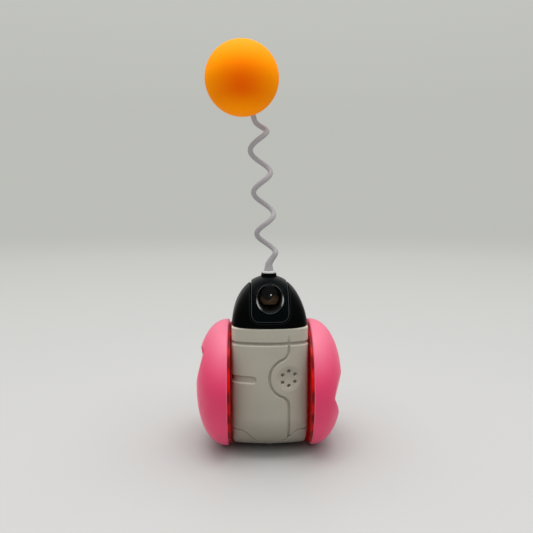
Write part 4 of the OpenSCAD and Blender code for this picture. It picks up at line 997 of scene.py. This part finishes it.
def wheel_disc(side, sign):
    """Red disc in the wheel's mouth, with a notched flange, a spigot and a hub."""
    turns = full_turn(28 * NOTCHES)
    pitch = 2 * math.pi / NOTCHES
    off = np.abs((turns + pitch / 2) % pitch - pitch / 2) * FLANGE_R
    edge = FLANGE_R - NOTCH_D * fade(NOTCH_W / 2 - NOTCH_SOFT, NOTCH_W / 2 + NOTCH_SOFT, off)
    spigot_in, spigot_end = SPIGOT_R - SPIGOT_WALL, RIM_X + SPIGOT_H
    profile = ((BORE_R, BUSH_END), (BORE_R, DISC_X), (12.0, DISC_X), (24.0, DISC_X), (edge - 0.8, DISC_X),
               (edge - 0.25, DISC_X), (edge - 0.07, DISC_X + 0.07), (edge, DISC_X + 0.25), (edge, RIM_X),
               (SPIGOT_R, RIM_X), (SPIGOT_R, spigot_end), (spigot_in, spigot_end), (spigot_in, RIM_X),
               (HUB_R, RIM_X), (HUB_R, BUSH_END))
    looped([wheel_points(sign * x, r, turns) for r, x in profile]).piece(
        f"{side}_disc", f"{side}_wheel", "red_disc", [f"{side}_wheel_disc"], 35)


for wheel, outwards in (("left", -1), ("right", 1)):
    wheel_dome(wheel, outwards)
    wheel_disc(wheel, outwards)

# Wand and ball

ENTRY_DIR = np.array([math.cos(ENTRY_DIP) * math.cos(ENTRY_TURN), math.cos(ENTRY_DIP) * math.sin(ENTRY_TURN),
                      -math.sin(ENTRY_DIP)])
ENTRY = BALL_C + BALL_R * ENTRY_DIR
COIL_END = ENTRY + 2 * STRAND_R * ENTRY_DIR
COIL_START_Z = PLUG_TOP + 2 * STRAND_R


def coil_point(z):
    """The wand's middle line at heights: straight from the plug, coiled, and straight into the ball."""
    t = (z - PLUG_TOP) / (COIL_END[2] - PLUG_TOP)
    turn = 2 * math.pi * np.maximum(0, z - COIL_PHASE) / COIL_PITCH
    ring = points((COIL_END[0] + 1.5) * t + COIL_R * np.cos(turn),
                  (COIL_END[1] - 1.5) * t + COIL_R * np.sin(turn), z)
    rise = points(0, 0, z)
    fall = COIL_END + ENTRY_DIR * ((COIL_END[2] - z) / -ENTRY_DIR[2])[:, None]
    grown = rise + (ring - rise) * smooth(0, COIL_IN, z - COIL_START_Z)[:, None]
    return grown + (fall - grown) * smooth(0, COIL_OUT, z - COIL_END[2] + COIL_OUT)[:, None]


def wand_line():
    foot = points(0, 0, np.linspace(PLUG_TOP, COIL_START_Z, 12)[:-1])
    end = ENTRY - (ENTRY_DEPTH - 0.1) * ENTRY_DIR
    tail = COIL_END + (end - COIL_END) * np.linspace(0, 1, 24)[1:, None]
    line = np.concatenate([foot, coil_point(np.linspace(COIL_START_Z, COIL_END[2], 420)), tail])
    for _ in range(6):
        line[1:-1] = 0.25 * line[:-2] + 0.5 * line[1:-1] + 0.25 * line[2:]
    return line


def wand_part(name, line):
    """One stretch of the wand as a closed tube, cut from the other stretch at the bend height."""
    radii = STRAND_R + FLARE_R * np.exp(-np.maximum(line[:, 2] - PLUG_TOP, 0) / FLARE_H)
    tangents = np.gradient(line, axis=0)
    tangents /= np.linalg.norm(tangents, axis=1, keepdims=True)
    side = np.array([1.0, 0, 0])
    turns = full_turn(24)[:, None]
    rings = []
    for point, t, r in zip(line, tangents, radii):
        side = side - t * side.dot(t)
        side /= np.linalg.norm(side)
        rings.append(point + r * (np.cos(turns) * side + np.sin(turns) * np.cross(t, side)))
    obj = capped(rings).piece(name, None, "wand_grey", ["wand_spring"], 60)
    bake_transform(obj)


WAND = wand_line()
MIDDLE = int(np.argmin(np.abs(WAND[:, 2] - WAND_BEND[2])))
wand_part("wand_lower", WAND[:MIDDLE + 1])
wand_part("wand_upper", WAND[MIDDLE:])


def ball():
    """Hollow ball with a rounded mouth to the socket that takes the wand."""
    bore = STRAND_R + 0.2
    mouth = math.asin((bore + 0.5) / BALL_R)
    angles = np.concatenate([np.linspace(math.radians(179.5), mouth + 0.05, 110), [mouth + 0.02, mouth]])
    top = BALL_R * math.cos(mouth)
    profile = [(BALL_R * math.sin(a), BALL_R * math.cos(a)) for a in angles]
    profile += [(bore + 0.22, top - 0.06), (bore + 0.06, top - 0.22), (bore, top - 0.5),
                (bore, top - ENTRY_DEPTH)]
    turn = np.array(Vector(ENTRY_DIR).to_track_quat("Z", "Y").to_matrix())
    rings = [ring @ turn.T + BALL_C for ring in turned(profile, full_turn(144))]
    capped(rings).piece("bobble_ball", "bobble", "orange_ball", ["ball"], 50)


ball()

# Floor, light and camera

BACKDROP, BACKDROP_TOP = (0.505, 0.512, 0.480), (0.56, 0.567, 0.535)
FLOOR_NEAR, FLOOR_MID, FLOOR_BACK = (0.372, 0.372, 0.369), (0.418, 0.42, 0.408), (0.395, 0.398, 0.385)


def pale_ray(g):
    """1 for the rays that show the pale backdrop."""
    ray = g.node("LightPath")
    pale = g.maths("MAXIMUM", ray["Is Camera Ray"], ray["Is Glossy Ray"])
    return g.maths("MAXIMUM", pale, ray["Is Transmission Ray"])


def floor():
    """Wide round floor that fades into the backdrop."""
    turns = full_turn(96)
    radii = np.concatenate([[0.02], np.geomspace(0.1, 9, 40)])[:, None] / MM
    shape = Shape()
    index = shape.grid(points(radii * np.cos(turns), radii * np.sin(turns), 0.0), True)
    shape.face(index[0])
    mesh, obj = shape.mesh("floor")
    g = material("floor")
    far = g.node("VectorMath", {0: g.coords()}, operation="LENGTH")["Value"]
    tones = g.ramp(g.reach(far, 0.0, 3.0), [(0.1, FLOOR_NEAR), (0.36, FLOOR_MID), (0.8, FLOOR_BACK)])
    g.dress({"Base Color": tones, "Roughness": 0.5, "Specular IOR Level": 0.25})
    away = g.maths("MULTIPLY", g.band(far, 0.5, 2.4), pale_ray(g))
    backdrop = g.node("Emission", {"Color": BACKDROP})["Emission"]
    both = g.node("MixShader", {0: away, 1: g.shader.outputs["BSDF"], 2: backdrop})["Shader"]
    g.show(both, "Material Output")
    mesh.materials.append(g.owner)


def world():
    """Soft white tent: bright above, lighter at the sides and back, dim behind the camera."""
    studio = bpy.data.worlds.new("studio")
    bpy.context.scene.world = studio
    g = Graph(studio)
    place = g.axes(g.node("TexCoord")["Generated"])
    sides = g.band(g.maths("ABSOLUTE", place["X"]), 0.25, 0.9, 0.2)
    back = g.band(place["Y"], -0.3, 0.6, 0.2)
    front = g.band(g.maths("MULTIPLY", place["Y"], -1.0), 0.1, 0.8, 0.02)
    around = g.maths("MULTIPLY", g.total(sides, back, front), g.band(place["Z"], 0.02, 0.4))
    light = g.nodes["Background"]
    g.put(light.inputs["Strength"], g.total(g.band(place["Z"], 0.2, 0.9, 1.9), around, 0.01))
    g.put(light.inputs["Color"], (1.0, 0.995, 0.98))
    sky = g.ramp(g.band(place["Z"], -0.05, 0.5), [(0.0, BACKDROP), (0.3, BACKDROP), (1.0, BACKDROP_TOP)])
    seen = g.node("Background", {"Color": sky})["Background"]
    both = g.node("MixShader", {0: pale_ray(g), 1: light.outputs["Background"], 2: seen})["Shader"]
    g.show(both, "World Output")


def softbox(name, place, aim, size, power):
    lamp = bpy.data.lights.new(name, "AREA")
    lamp.shape = "RECTANGLE"
    lamp.size, lamp.size_y = size
    lamp.energy = power
    obj = bpy.data.objects.new(name, lamp)
    obj.location = place
    obj.rotation_euler = (Vector(aim) - Vector(place)).to_track_quat("-Z", "Y").to_euler()
    obj.visible_camera = False
    bpy.context.scene.collection.objects.link(obj)


floor()
world()
softbox("overhead", (0.0, -0.05, 0.95), (0.0, 0.0, 0.0), (0.7, 0.5), 5.2)

SENSOR_MM, FOCAL_SHARE = 36.0, 540 / 533
PITCH, YAW = math.radians(7.0), math.radians(1.72)
cam_data = bpy.data.cameras.new("camera")
cam_data.sensor_width = SENSOR_MM
cam_data.lens = SENSOR_MM * FOCAL_SHARE
cam_data.clip_start, cam_data.clip_end = 0.01, 30.0
camera = bpy.data.objects.new("camera", cam_data)
bpy.context.scene.collection.objects.link(camera)
look = Vector((math.sin(YAW) * math.cos(PITCH), math.cos(YAW) * math.cos(PITCH), -math.sin(PITCH)))
camera.location = (-0.0105, -0.3061, 0.1407)
camera.rotation_euler = look.to_track_quat("-Z", "Y").to_euler()
bpy.context.scene.camera = camera
bpy.context.scene.view_settings.view_transform = "Standard"
